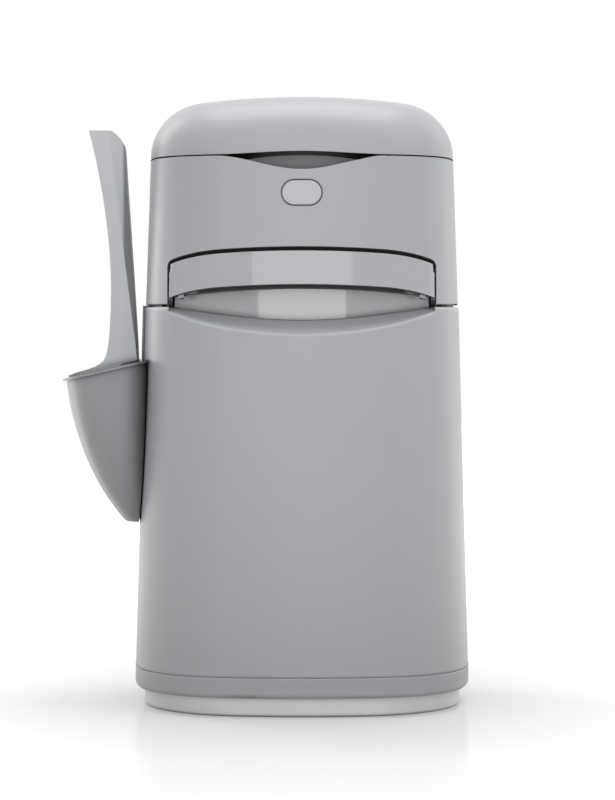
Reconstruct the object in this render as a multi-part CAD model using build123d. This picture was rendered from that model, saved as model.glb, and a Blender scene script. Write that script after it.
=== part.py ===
"""Litter disposal pail: a bin with a hinged head, a film cassette, a spring-shut clamp and a scoop.

Millimetres. The origin is on the floor under the middle of the pail. +Z is up, the front faces -Y
and the scoop hangs on the -X side. Every level of the pail is the same plan outline, drawn in from
the outline of the base's foot by an inset.
"""

from build123d import *
from math import atan2, cos, degrees, hypot, pi, radians, sin, sqrt, tan
import os

os.makedirs("parts", exist_ok=True)

# ---- plan outline at the foot of the base ----
HALF_WIDTH = 118.4
HALF_DEPTH = 107.0
FRONT_RADIUS = 300.0
CORNER_RADIUS = 72.0
SIDE_RADIUS = 220.0

# ---- heights, counted from just above the foot's sole; save() lifts every part so the sole is at 0 ----
SOLE = -2.7
TRIM_BOTTOM = 10.8
BASE_BOTTOM = 24.8
BASE_TOP = 277.4
HEAD_BOTTOM = 278.8
HEAD_TOP = 380.5
LID_BOTTOM = 381.3
LID_TOP = 425.6

# ---- taper of the walls, as inset gained for each millimetre of height ----
BASE_TAPER = 0.0278
HEAD_TAPER = 0.0347
HEAD_LOW_INSET = 7.45

# ---- walls ----
WALL = 2.6
LID_WALL = 2.4
RIM_ROUND = 1.2
SPLIT_ROUND = 0.5

# ---- lid dome ----
DOME_EDGE_RADIUS = 38.0
DOME_CROWN_RADIUS = 553.0

# ---- foot ----
PLINTH_INSET = 6.0
PLINTH_FRONT_INSET = 7.5
PLINTH_CORNER = 83.0
PLINTH_ROUND = 3.0
PLINTH_WALL = 4.0
PLINTH_FLOOR = 5.0
PLINTH_RIB_XS = (-30.0, 0.0, 30.0)
PLINTH_RIB_HALF = 1.2
PLINTH_RIB_REACH = 92.0
PLINTH_RIB_TOP = 16.0
PLINTH_POST = 7.0
TRIM_ROUND = 2.6
TRIM_PROUD = 0.25
BASE_FLOOR = 3.0
PAD_X = 46.0
PAD_Y = 72.0
PAD_LENGTH = 44.0
PAD_WIDTH = 11.0
PAD_HEIGHT = 1.55

# ---- screws: head radius, head height, shank radius, whole length, then where each kind sits ----
FOOT_SCREW = (4.2, 2.4, 2.0, 33.0)
FOOT_SCREW_XS = (-74.0, 74.0)
FOOT_SCREW_YS = (-62.0, 62.0)
FOOT_SCREW_Z = 1.6
KEEPER_SCREW = (2.6, 1.5, 1.1, 5.3)
KEEPER_SCREW_XS = (-15.0, 15.0)
DECK_SCREW = (3.6, 2.2, 1.6, 16.0)
DECK_SCREW_XS = (-80.6, 80.6)
DECK_SCREW_YS = (-68.4, 68.4)
PLATE_SCREW = (3.4, 2.2, 1.5, 9.4)
PLATE_SCREW_REACH = 51.0
LID_SCREW = (3.4, 2.2, 1.5, 16.0)
LID_SCREW_XS = (-58.0, 58.0)
LID_SCREW_YS = (-44.0, 52.0)
LID_SCREW_Z = 382.8
JAW_SCREW = (2.4, 1.2, 1.1, 9.0)
JAW_SCREW_Y = 5.4
JAW_SCREW_ZS = (267.0, 273.0)
ARM_SCREW = (1.9, 1.0, 1.0, 8.0)
ARM_SCREW_U = -102.5
ARM_SCREW_VS = (-11.5, -16.5)
SLOT_HALF = 0.45

# ---- finger ramp in the front of the base: an arc in front that runs out to a line behind ----
RAMP_HALF_WIDTH = 91.5
RAMP_FRONT_Y = -105.0
RAMP_FRONT_Z = 256.3
RAMP_ARC = 460.0
RAMP_REAR_Y = -60.0
RAMP_REAR_Z = 278.2
RAMP_WALL = 2.6
RAMP_REAR_GAP = 0.6

# ---- handle opening and the handle's slide, which leans up towards the front ----
SLIDE_ANGLE = 19.5
OPENING_TOP_Y = -98.3
OPENING_TOP_Z = 318.5
OPENING_HALF_WIDTH = 92.6
OPENING_CORNER = 3.5
RECESS_WALL_Y = -79.5
RECESS_WALL_RADIUS = 261.0
RECESS_WALL_HALF_WIDTH = 87.9
RECESS_WALL_THICKNESS = 2.2
CEILING_LOW = 3.2
CEILING_HIGH = 5.2
CHEEK_INNER = 93.0
CHEEK_OUTER = 95.2

# ---- handle band and arms, measured in the slide's own plane ----
BAND_TOP = -2.7
BAND_BOTTOM = -24.5
BAND_HALF_WIDTH = 91.4
BAND_REAR_Y = -90.4
BAND_REAR_RADIUS = 250.0
BAND_SKIN = 2.0
ARM_INNER = 88.9
ARM_OUTER = 91.3
ARM_TOP = -8.0
ARM_BOTTOM = -20.0
ARM_REAR = -106.0
LUG_X = 83.0

# ---- clamp under the throat ----
JAW_FACE_GAP = 0.2
JAW_PAD = 1.6
JAW_DEPTH = 7.2
JAW_BOTTOM = 264.0
JAW_TOP = 276.0
ROD_X = 70.0
ROD_RADIUS = 2.0
ROD_CLEARANCE = 0.35
ROD_LINE = -13.0
SPRING_RADIUS = 3.6
SPRING_WIRE = 0.5
SPRING_COILS = 9
FRAME_PLATE_INNER = 92.0
FRAME_PLATE_OUTER = 94.5
FRAME_TOP = 330.0
FRAME_PLATE = 3.0
FRAME_FRONT_BAR = -46.0
FRAME_BAR_DEPTH = 3.0
FRAME_RIB_INNER = 89.4
JAW_PAD_HALF = 62.0
JAW_GROOVE = 4.6
JAW_FLANGE = 2.2

# ---- cassette and the well it sits in ----
WELL_Y = 4.0
WELL_RADIUS = 79.6
WELL_WALL = 2.4
WELL_FLOOR = 332.0
DECK_BOTTOM = 372.0
DECK_TOP = 374.4
THROAT_RADIUS = 58.0
THROAT_WALL = 2.2
THROAT_BOTTOM = 318.0
CASSETTE_RADIUS = 78.6
CASSETTE_WALL = 1.8
CASSETTE_TOP = 368.0
CASSETTE_LIP = 2.5
CASSETTE_SLIT = 6.5
CAP_RIB_RADIUS = 70.0
CUTTER_HEIGHT = 7.6

# ---- lid grip notch in the head's front edge ----
NOTCH_HALF_WIDTH = 61.0
NOTCH_DEPTH = 9.5
LID_ARCH = 2.0
GRIP_FLOOR = 368.6
GRIP_WALL = 1.8
GRIP_WALL_INSET = 10.0
GRIP_WALL_TOP = 381.0
GRIP_WALL_RADIUS = 250.0

# ---- release button and latch lever ----
BUTTON_Z = 355.0
BUTTON_WIDTH = 26.8
BUTTON_HEIGHT = 16.6
BUTTON_GAP = 0.9
BUTTON_STEM = 3.0
STEM_GAP = 0.3
LEVER_PIVOT_Y = -70.5
LEVER_PIVOT_Z = 318.0
LEVER_HALF_WIDTH = 5.0
LEVER_PIN_RADIUS = 2.0
LEVER_FACE_Y = -90.9
LEVER_THICKNESS = 2.6
LEVER_LOWER_Y = -72.0
HOOK_TIP_Y = -65.5
HOOK_BOTTOM = 258.5
KEEPER_TOP = 266.8
KEEPER_THICKNESS = 2.5
KEEPER_HALF_WIDTH = 22.0
KEEPER_PLAY = 0.35
KEEPER_SEAT = 3.5
KEEPER_SCREW_Y = -88.6
EAR_INNER = 11.0
EAR_OUTER = 13.5
PIN_CLEARANCE = 0.05

# ---- hinges at the back: knuckles on webs that run LUG_REACH in from a knuckle's outer edge ----
HEAD_HINGE_Y = 105.5
HEAD_HINGE_Z = 278.1
HEAD_KNUCKLE = 5.4
LID_HINGE_Y = 101.0
LID_HINGE_Z = 380.9
LID_KNUCKLE = 4.4
HINGE_PIN_RADIUS = 1.8
LUG_REACH = 20.0
LUG_SLOPE = 1.3
LUG_ROOT = 1.4
BASE_LUGS = [(-62, -40), (-12, 12), (40, 62)]
HEAD_LUGS = [(-39.5, -12.5), (12.5, 39.5)]
TOP_LUGS = [(-46, -30), (30, 46)]
LID_LUGS = [(-29.5, 29.5)]

# ---- scoop holder on the left side ----
HOLDER_GAP = 1.0
HOLDER_WALL = 2.2
HOLDER_INNER_X = -100.0
HOLDER_RIM_LEFT = (-170.0, 226.6)
HOLDER_RIM_RIGHT = (-111.1, 239.8)
HOLDER_LIP = 2.5
HOLDER_LIP_THICKNESS = 1.8
STRAP_HALF_WIDTH = 20.0
STRAP_BOTTOM = 222.0
STRAP_THICKNESS = 1.8
STRAP_HOOK_TOP = 278.55
STRAP_TONGUE = 1.2
STRAP_TONGUE_BOTTOM = 268.4
HOLDER_PAD_BOTTOM = 132.0
HOLDER_PAD_TOP = 148.0
HOLDER_PAD_HALF = 8.0
# levels of the holder from the bottom up: height, outer edge, half width
HOLDER_LEVELS = [
    (126.0, -126.6, 27.0),
    (133.0, -132.3, 33.0),
    (150.0, -143.7, 42.0),
    (175.0, -155.7, 51.5),
    (202.0, -163.8, 58.0),
    (226.0, -167.6, 61.5),
    (246.0, -169.4, 63.0),
]

# ---- scoop ----
SCOOP_HALF_GRIP = 13.5
SCOOP_SKIN = 5.0
SCOOP_FACET = 4.5
SCOOP_HOLLOW_BOTTOM = 248.0
SCOOP_BLADE_TOP = 242.0
SCOOP_REAR_WALL = 1.6
SCOOP_REAR_RISE = 1.7
SCOOP_BLADE_BOTTOM = 129.0
SCOOP_FLOOR_TOP_X = -117.0
SCOOP_FLOOR_BOTTOM_X = -119.4
SCOOP_FLOOR = 2.0
SCOOP_SLOT_PITCH = 9.0
SCOOP_SLOT_HALF = 2.4
SCOOP_SLOT_ROWS = ((150.0, 180.0, 1), (187.0, 217.0, 2))


# ------------------------------------------------------------------ helpers

def block(x0, x1, y0, y1, z0, z1):
    """A box between two opposite corners."""
    return Pos((x0 + x1) / 2, (y0 + y1) / 2, (z0 + z1) / 2) * Box(x1 - x0, y1 - y0, z1 - z0)


def bar_x(radius, x0, x1, y, z):
    """A cylinder lying along X."""
    return Pos((x0 + x1) / 2, y, z) * Rot(0, 90, 0) * Cylinder(radius, x1 - x0)


def bar_y(radius, x, y0, y1, z):
    """A cylinder lying along Y."""
    return Pos(x, (y0 + y1) / 2, z) * Rot(90, 0, 0) * Cylinder(radius, y1 - y0)


def bar_z(radius, x, y, z0, z1):
    """A standing cylinder."""
    return Pos(x, y, (z0 + z1) / 2) * Cylinder(radius, z1 - z0)


def tube_z(outer, inner, y, z0, z1):
    """A standing tube on the plane x = 0."""
    return bar_z(outer, 0, y, z0, z1) - bar_z(inner, 0, y, z0 - 1, z1 + 1)


def arc_oval(half_x, half_y, side_radius, front_radius, corner_radius, centre_x, z):
    """A closed outline of eight tangent arcs: flat bows on four sides, tighter arcs at the corners."""
    bow_front = front_radius - half_y
    bow_side = half_x - side_radius
    reach_front = front_radius - corner_radius
    reach_side = side_radius - corner_radius
    span = hypot(bow_front, bow_side)
    along = (span ** 2 + reach_front ** 2 - reach_side ** 2) / (2 * span)
    across = (reach_front ** 2 - along ** 2) ** 0.5
    to_side_x = bow_side / span
    to_side_y = -bow_front / span
    corner_x = along * to_side_x - across * to_side_y
    corner_y = bow_front + along * to_side_y + across * to_side_x
    front_angle = atan2(corner_y - bow_front, corner_x)
    side_angle = atan2(corner_y, corner_x - bow_side)
    middle_angle = (front_angle + side_angle) / 2
    front_end = (front_radius * cos(front_angle), bow_front + front_radius * sin(front_angle))
    side_end = (bow_side + side_radius * cos(side_angle), side_radius * sin(side_angle))
    corner_mid = (corner_x + corner_radius * cos(middle_angle), corner_y + corner_radius * sin(middle_angle))

    def at(point, flip_x, flip_y):
        return (centre_x + flip_x * point[0], flip_y * point[1], z)

    edges = []
    edges.append(ThreePointArc(at(front_end, -1, 1), (centre_x, -half_y, z), at(front_end, 1, 1)))
    edges.append(ThreePointArc(at(front_end, 1, 1), at(corner_mid, 1, 1), at(side_end, 1, 1)))
    edges.append(ThreePointArc(at(side_end, 1, 1), (centre_x + half_x, 0, z), at(side_end, 1, -1)))
    edges.append(ThreePointArc(at(side_end, 1, -1), at(corner_mid, 1, -1), at(front_end, 1, -1)))
    edges.append(ThreePointArc(at(front_end, 1, -1), (centre_x, half_y, z), at(front_end, -1, -1)))
    edges.append(ThreePointArc(at(front_end, -1, -1), at(corner_mid, -1, -1), at(side_end, -1, -1)))
    edges.append(ThreePointArc(at(side_end, -1, -1), (centre_x - half_x, 0, z), at(side_end, -1, 1)))
    edges.append(ThreePointArc(at(side_end, -1, 1), at(corner_mid, -1, 1), at(front_end, -1, 1)))
    return Face(Wire([edge.edge() for edge in edges]))


def outline(inset, z):
    """The pail's plan outline at height z, drawn in by the inset."""
    return arc_oval(
        HALF_WIDTH - inset, HALF_DEPTH - inset, SIDE_RADIUS - inset,
        FRONT_RADIUS - inset, CORNER_RADIUS - inset, 0, z,
    )


def plug(inset_low, z_low, inset_high, z_high):
    """A solid of the pail's outline between two heights."""
    return loft([outline(inset_low, z_low), outline(inset_high, z_high)], ruled=True)


def base_inset(z):
    return (z - BASE_BOTTOM) * BASE_TAPER


def head_inset(z):
    return HEAD_LOW_INSET + (z - HEAD_BOTTOM) * HEAD_TAPER


def base_plug(z_low, z_high, further=0.0):
    """The base's own taper between two heights, drawn in further by a wall or a gap."""
    return plug(base_inset(z_low) + further, z_low, base_inset(z_high) + further, z_high)


def head_plug(z_low, z_high, further=0.0):
    """The head's own taper between two heights, drawn in further by a wall or a gap."""
    return plug(head_inset(z_low) + further, z_low, head_inset(z_high) + further, z_high)


def outer_rim(solid, z):
    """The outermost closed run of edges in the level plane at z."""
    face = [f for f in solid.faces() if abs(f.center().Z - z) < 0.05 and abs(f.normal_at().Z) > 0.9]
    return max(face, key=lambda f: f.area).outer_wire().edges()


def slide_box(x0, x1, v0, v1, u0, u1):
    """A box in the slide's own axes: v is square to the slide and up, u is along it and forwards."""
    return SLIDE.location * Pos((x0 + x1) / 2, (v0 + v1) / 2, (u0 + u1) / 2) * Box(x1 - x0, v1 - v0, u1 - u0)


def slide_rod(radius, x, v, u0, u1):
    """A cylinder along the slide."""
    return SLIDE.location * Pos(x, v, (u0 + u1) / 2) * Cylinder(radius, u1 - u0)


def wall_behind(centre_y, radius, half_width, z0, z1):
    """Everything behind an upright wall that bows forwards, its middle at centre_y."""
    round_part = bar_z(radius, 0, centre_y + radius, z0, z1)
    return round_part & block(-half_width, half_width, centre_y - 1, centre_y + 60, z0, z1)


def screw(head_radius, head_height, shank_radius, length, recess=0.5):
    """A pan-head screw standing on its head at the origin, with a cross recess in the head."""
    body = bar_z(head_radius, 0, 0, 0, head_height) + bar_z(shank_radius, 0, 0, head_height, length)
    arm = head_radius * 0.62
    slot_depth = head_height * recess
    body -= block(-arm, arm, -SLOT_HALF, SLOT_HALF, 0, slot_depth)
    body -= block(-SLOT_HALF, SLOT_HALF, -arm, arm, 0, slot_depth)
    return body


def screw_grid(size, xs, ys, z, turn=0):
    """A screw at each crossing of the given lines, its head's end at z, turned over by turn."""
    return Compound(children=[Pos(x, y, z) * Rot(turn, 0, 0) * screw(*size) for x in xs for y in ys])


def posts(radius, xs, ys, z0, z1):
    """A standing cylinder at each crossing of the given lines."""
    return [bar_z(radius, x, y, z0, z1) for x in xs for y in ys]


def both_sides(side, near, far):
    """Two distances from the middle as x coordinates in rising order; side is -1 for left, 1 for right."""
    return sorted((side * near, side * far))


def coil(radius, wire, length, turns):
    """A spring of round wire standing on the origin."""
    path = Helix(length / turns, length, radius)
    start = path @ 0
    section = Plane(origin=start, z_dir=path % 0) * Circle(wire)
    return sweep(section, path=path, is_frenet=True)


def stadium_y(width, height, z, y0, y1):
    """A slab with round ends, its flat faces square to Y."""
    plane = Plane(origin=(0, y0, z), x_dir=(1, 0, 0), z_dir=(0, 1, 0))
    return extrude(plane * SlotOverall(width, height), y1 - y0)


def save(part, name):
    """Writes one part, lifted so that the pail stands on height 0."""
    standing = Pos(0, 0, -SOLE) * part
    standing.label = name
    export_step(standing, "parts/" + name + ".step")


def u_at(y, v):
    """The slide coordinate of the point at depth y on the line at height v above the slide's plane."""
    lean = radians(SLIDE_ANGLE)
    return (OPENING_TOP_Y + v * sin(lean) - y) / cos(lean)


SLIDE = Plane(
    origin=(0, OPENING_TOP_Y, OPENING_TOP_Z), x_dir=(1, 0, 0),
    z_dir=(0, -cos(radians(SLIDE_ANGLE)), sin(radians(SLIDE_ANGLE))),
)
JAW_FRONT_Y = -(JAW_FACE_GAP + JAW_PAD + JAW_DEPTH)
JAW_FRONT_U = u_at(JAW_FRONT_Y, ROD_LINE) + 2.4


# ------------------------------------------------------------------ shared shapes

def ramp_section(y, low_z, arc, half_width):
    """One end of the ramp's loft: low in the middle by an arc, or straight if arc is 0, closed above."""
    rise = arc - sqrt(arc * arc - half_width * half_width) if arc else 0
    left = (-half_width, low_z + rise)
    right = (half_width, low_z + rise)
    edge = ThreePointArc(left, (0, low_z), right) if arc else Line(left, right)
    walls = Polyline(right, (half_width, 330), (-half_width, 330), left)
    plane = Plane(origin=(0, y, 0), x_dir=(1, 0, 0), z_dir=(0, -1, 0))
    return plane * make_face(Curve() + [edge, walls])


def above_ramp(drop, half_width):
    """What lies above the ramp, lowered by drop."""
    front = ramp_section(RAMP_FRONT_Y, RAMP_FRONT_Z - drop, RAMP_ARC, half_width)
    rear = ramp_section(RAMP_REAR_Y, RAMP_REAR_Z - drop, 0, half_width)
    return loft([front, rear], ruled=True)


def ramp_angle():
    """The ramp's slope along the middle of the pail."""
    return atan2(RAMP_REAR_Z - RAMP_FRONT_Z, RAMP_REAR_Y - RAMP_FRONT_Y)


def foot_screws():
    return screw_grid(FOOT_SCREW, FOOT_SCREW_XS, FOOT_SCREW_YS, FOOT_SCREW_Z)


def grip_pads(z0, z1):
    """Four long pads with round ends."""
    pads = []
    for x in (-PAD_X, PAD_X):
        for y in (-PAD_Y, PAD_Y):
            pads.append(extrude(Pos(x, y, z0) * SlotOverall(PAD_LENGTH, PAD_WIDTH), z1 - z0))
    return pads


def keeper_seat(x):
    """A place under the ramp, its z square to the ramp: 0 at a screw's head, KEEPER_SEAT at the ramp."""
    slope = ramp_angle()
    ramp_z = RAMP_FRONT_Z - RAMP_WALL + (KEEPER_SCREW_Y - RAMP_FRONT_Y) * tan(slope)
    y = KEEPER_SCREW_Y + KEEPER_SEAT * sin(slope)
    z = ramp_z - KEEPER_SEAT * cos(slope)
    return Plane(origin=(x, y, z), x_dir=(1, 0, 0), z_dir=(0, -sin(slope), cos(slope))).location


def keeper_screws():
    return Compound(children=[keeper_seat(x) * screw(*KEEPER_SCREW) for x in KEEPER_SCREW_XS])


def deck_screws():
    return screw_grid(DECK_SCREW, DECK_SCREW_XS, DECK_SCREW_YS, DECK_TOP + DECK_SCREW[1], 180)


def plate_screw_lines():
    """The lines that the screws through the clamp frame's top plate lie on."""
    reach = PLATE_SCREW_REACH
    return (-reach, reach), (WELL_Y - reach, WELL_Y + reach)


def frame_screws():
    xs, ys = plate_screw_lines()
    return screw_grid(PLATE_SCREW, xs, ys, FRAME_TOP - FRAME_PLATE - PLATE_SCREW[1])


def lid_screws():
    return screw_grid(LID_SCREW, LID_SCREW_XS, LID_SCREW_YS, LID_SCREW_Z)


def jaw_screws():
    """Screws that hold the rear jaw between the frame's side plates, with their heads outwards."""
    head_x = FRAME_PLATE_OUTER + JAW_SCREW[1]
    parts = []
    for z in JAW_SCREW_ZS:
        for side in (-1, 1):
            parts.append(Pos(side * head_x, JAW_SCREW_Y, z) * Rot(0, -90 * side, 0) * screw(*JAW_SCREW))
    return Compound(children=parts)


# ------------------------------------------------------------------ base

def make_base_shell():
    outer = base_plug(BASE_BOTTOM, BASE_TOP)
    outer = fillet(outer_rim(outer, BASE_TOP), RIM_ROUND)
    outer = fillet(outer_rim(outer, BASE_BOTTOM), SPLIT_ROUND)
    tray = above_ramp(RAMP_WALL, RAMP_HALF_WIDTH + RAMP_WALL)
    tray -= wall_behind(RECESS_WALL_Y - RAMP_REAR_GAP, RECESS_WALL_RADIUS, 120, 200, 340)
    inside = base_plug(BASE_BOTTOM + BASE_FLOOR, BASE_TOP + 2, WALL) - tray
    shell = outer - inside - above_ramp(0, RAMP_HALF_WIDTH)
    shell += posts(5.0, FOOT_SCREW_XS, FOOT_SCREW_YS, BASE_BOTTOM + 1, BASE_BOTTOM + BASE_FLOOR + 8)
    lugs = hinge_lugs(BASE_LUGS, HEAD_HINGE_Y, HEAD_HINGE_Z, HEAD_KNUCKLE, -1)
    shell += lugs - base_plug(BASE_BOTTOM, BASE_TOP + 2, LUG_ROOT)
    shell -= bar_x(HINGE_PIN_RADIUS, -90, 90, HEAD_HINGE_Y, HEAD_HINGE_Z)
    shell -= foot_screws()
    shell -= keeper_screws()
    return shell


def hinge_lugs(spans, hinge_y, hinge_z, radius, up):
    """Hinge knuckles with webs that run down (up is -1) or up (up is 1) to the wall they are moulded to."""
    outer_y = hinge_y + radius
    inner_y = outer_y - LUG_REACH
    side = Polyline(
        (inner_y, hinge_z), (outer_y, hinge_z), (inner_y, hinge_z + up * LUG_REACH * LUG_SLOPE), close=True
    )
    lugs = []
    for x0, x1 in spans:
        plane = Plane(origin=(x0, 0, 0), x_dir=(0, 1, 0), z_dir=(1, 0, 0))
        lugs.append(bar_x(radius, x0, x1, hinge_y, hinge_z) + extrude(plane * make_face(side), x1 - x0))
    return Part() + lugs


def make_trim_ring():
    outer = plug(-TRIM_PROUD, TRIM_BOTTOM, -TRIM_PROUD, BASE_BOTTOM - 0.05)
    outer = fillet(outer_rim(outer, TRIM_BOTTOM), TRIM_ROUND)
    outer = fillet(outer_rim(outer, BASE_BOTTOM - 0.05), SPLIT_ROUND)
    return outer - plug(PLINTH_INSET, TRIM_BOTTOM - 1, PLINTH_INSET, BASE_BOTTOM + 1)


def sole_outline():
    """The foot's plan outline at the floor, rounder at the corners than the pail above it."""
    return arc_oval(
        HALF_WIDTH - PLINTH_INSET, HALF_DEPTH - PLINTH_FRONT_INSET, SIDE_RADIUS - PLINTH_INSET,
        FRONT_RADIUS - PLINTH_INSET, PLINTH_CORNER, 0, SOLE,
    )


def make_foot_plinth():
    skirt = loft([sole_outline(), outline(PLINTH_INSET, TRIM_BOTTOM)], ruled=True)
    skirt = fillet(outer_rim(skirt, SOLE), PLINTH_ROUND)
    outer = skirt + plug(PLINTH_INSET, TRIM_BOTTOM, PLINTH_INSET, BASE_BOTTOM - 0.05)
    inner_inset = PLINTH_INSET + PLINTH_WALL
    plinth = outer - plug(inner_inset + 2, SOLE + PLINTH_FLOOR, inner_inset, BASE_BOTTOM + 1)
    plinth += posts(PLINTH_POST, FOOT_SCREW_XS, FOOT_SCREW_YS, SOLE + 1, BASE_BOTTOM - 0.05)
    screw_well = FOOT_SCREW[0] + 0.6
    plinth -= posts(screw_well, FOOT_SCREW_XS, FOOT_SCREW_YS, SOLE - 1, FOOT_SCREW_Z + FOOT_SCREW[1])
    rib_base = SOLE + PLINTH_FLOOR - 1
    for x in PLINTH_RIB_XS:
        left = x - PLINTH_RIB_HALF
        right = x + PLINTH_RIB_HALF
        plinth += block(left, right, -PLINTH_RIB_REACH, PLINTH_RIB_REACH, rib_base, PLINTH_RIB_TOP)
    plinth -= grip_pads(SOLE - 1, SOLE + PAD_HEIGHT + 0.05)
    return plinth - foot_screws()


def make_rim_collar():
    lower = plug(WALL + base_inset(262) + 0.1, 262, WALL + base_inset(276) + 0.1, 276)
    upper = plug(HEAD_LOW_INSET + WALL + 0.7, 275, HEAD_LOW_INSET + WALL + 0.9, 284.5)
    collar = lower + upper
    inner_inset = HEAD_LOW_INSET + WALL + 3.2
    collar -= plug(inner_inset, 260, inner_inset, 290)
    collar -= block(-97, 97, -120, -50, 250, 300)
    collar -= block(-120, -98, -STRAP_HALF_WIDTH - 1.5, STRAP_HALF_WIDTH + 1.5, 267.4, 300)
    return collar


def make_rim_bumpers():
    bumpers = []
    for x, y in ((98.0, -62.5), (-98.0, 62.5), (98.0, 62.5)):
        turn = degrees(atan2(y, x)) + 90
        face = Pos(x, y, BASE_TOP) * Rot(0, 0, turn) * SlotOverall(7, 1.8)
        bumpers.append(extrude(face, 1.0))
    return Compound(children=bumpers)


def make_latch_keeper():
    """A plate with a window for the latch hook, on a flange that screws to the underside of the ramp."""
    half = KEEPER_HALF_WIDTH
    plate = block(-half, half, -86.5, -60.0, KEEPER_TOP - KEEPER_THICKNESS, KEEPER_TOP)
    plate = fillet(plate.edges().filter_by(Axis.Z).group_by(Axis.Y)[-1], 4)
    plate -= block(-LEVER_HALF_WIDTH - 1.5, LEVER_HALF_WIDTH + 1.5, -78.0, -67.5, 250, 280)
    flange = keeper_seat(0) * block(-half, half, -4.5, 7.5, KEEPER_SCREW[1], KEEPER_SEAT + 1.0)
    flange -= block(-30, 30, -100, -60, KEEPER_TOP, 290)
    keeper = plate + flange
    keeper -= above_ramp(RAMP_WALL + 0.05, RAMP_HALF_WIDTH + RAMP_WALL)
    return keeper - keeper_screws()


def holder_face(level, further):
    """One level of the holder before its back is cut to the pail's side."""
    z, outer_x, half_y = level
    half_x = (HOLDER_INNER_X - outer_x) / 2
    centre_x = (HOLDER_INNER_X + outer_x) / 2
    corner = min(half_x, half_y) * 0.74
    return arc_oval(
        half_x - further, half_y - further, half_y * 2.2, half_x * 7.0, corner - further, centre_x, z
    )


def slanted_slab(low, high):
    """Everything between two planes that follow the holder's slanted rim, measured up from it."""
    left_x, left_z = HOLDER_RIM_LEFT
    right_x, right_z = HOLDER_RIM_RIGHT
    lean = degrees(atan2(right_z - left_z, right_x - left_x))
    place = Location(((left_x + right_x) / 2, 0, (left_z + right_z) / 2), (0, -lean, 0))
    return place * block(-120, 120, -120, 120, low, high)


def holder_loft(further):
    faces = [holder_face(level, further) for level in HOLDER_LEVELS]
    return loft(faces)


def make_scoop_holder():
    gap_plug = base_plug(BASE_BOTTOM, BASE_TOP, -HOLDER_GAP)
    back_plug = base_plug(BASE_BOTTOM, BASE_TOP, -HOLDER_GAP - HOLDER_WALL)
    outer = holder_loft(0) - gap_plug
    pocket = holder_loft(HOLDER_WALL) - back_plug
    pocket &= block(-200, -90, -80, 80, HOLDER_LEVELS[0][0] + HOLDER_WALL, 260)
    holder = (outer - pocket) & slanted_slab(-200, 0)
    lip = (holder_loft(-HOLDER_LIP) - gap_plug - pocket) & slanted_slab(-HOLDER_LIP_THICKNESS, 0)
    holder += lip
    return holder + holder_strap()


def holder_strap():
    """The strap up the pail's side, hooked over the rim, with a tongue down inside the wall."""
    half = STRAP_HALF_WIDTH
    rim_inset = base_inset(BASE_TOP)
    outside = rim_inset - STRAP_THICKNESS
    inside = rim_inset + WALL + 0.1
    strap = base_plug(STRAP_BOTTOM, BASE_TOP, -STRAP_THICKNESS) - base_plug(200, BASE_TOP + 2, -0.05)
    strap &= block(-140, -100, -half, half, STRAP_BOTTOM, BASE_TOP)
    hook = plug(outside, BASE_TOP, outside, STRAP_HOOK_TOP)
    tongue = plug(inside, STRAP_TONGUE_BOTTOM, inside, STRAP_HOOK_TOP)
    over = (hook + tongue) - plug(inside + STRAP_TONGUE, 250, inside + STRAP_TONGUE, 290)
    over &= block(-140, -100, -half, half, 250, 290)
    return strap + over


def make_holder_bumper():
    low = HOLDER_PAD_BOTTOM
    high = HOLDER_PAD_TOP
    pad = base_plug(low, high, -HOLDER_GAP) - base_plug(low - 2, high + 2, -0.02)
    return pad & block(-125, -100, -HOLDER_PAD_HALF, HOLDER_PAD_HALF, low, high)


# ------------------------------------------------------------------ head

def opening_prism(further, u0, u1):
    """The handle opening carried along the slide, with round top corners."""
    half = OPENING_HALF_WIDTH + further
    tall = 70
    sheet = Plane(origin=SLIDE.from_local_coords((0, 0, u0)), x_dir=(1, 0, 0), z_dir=SLIDE.z_dir)
    face = Pos(0, further - tall / 2) * Rectangle(2 * half, tall)
    face = fillet(face.vertices().group_by(Axis.Y)[-1], OPENING_CORNER)
    return extrude(sheet * face, u1 - u0)


def notch_prism(half_width, depth, base_z, rise, y0, y1):
    """A cutter whose edge is one long wave, down by depth (or up) at the middle."""
    points = []
    steps = 8
    for i in range(steps + 1):
        x = -half_width + 2 * half_width * i / steps
        points.append((x, base_z - depth * (1 + cos(pi * x / half_width)) / 2))
    wave = Spline(*points, tangents=[(1, 0), (1, 0)])
    far_z = base_z + rise
    top = Polyline((half_width, base_z), (half_width, far_z), (-half_width, far_z), (-half_width, base_z))
    face = Plane(origin=(0, y0, 0), x_dir=(1, 0, 0), z_dir=(0, -1, 0)) * make_face(Curve() + [wave, top])
    return extrude(face, y1 - y0, dir=(0, 1, 0))


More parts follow.
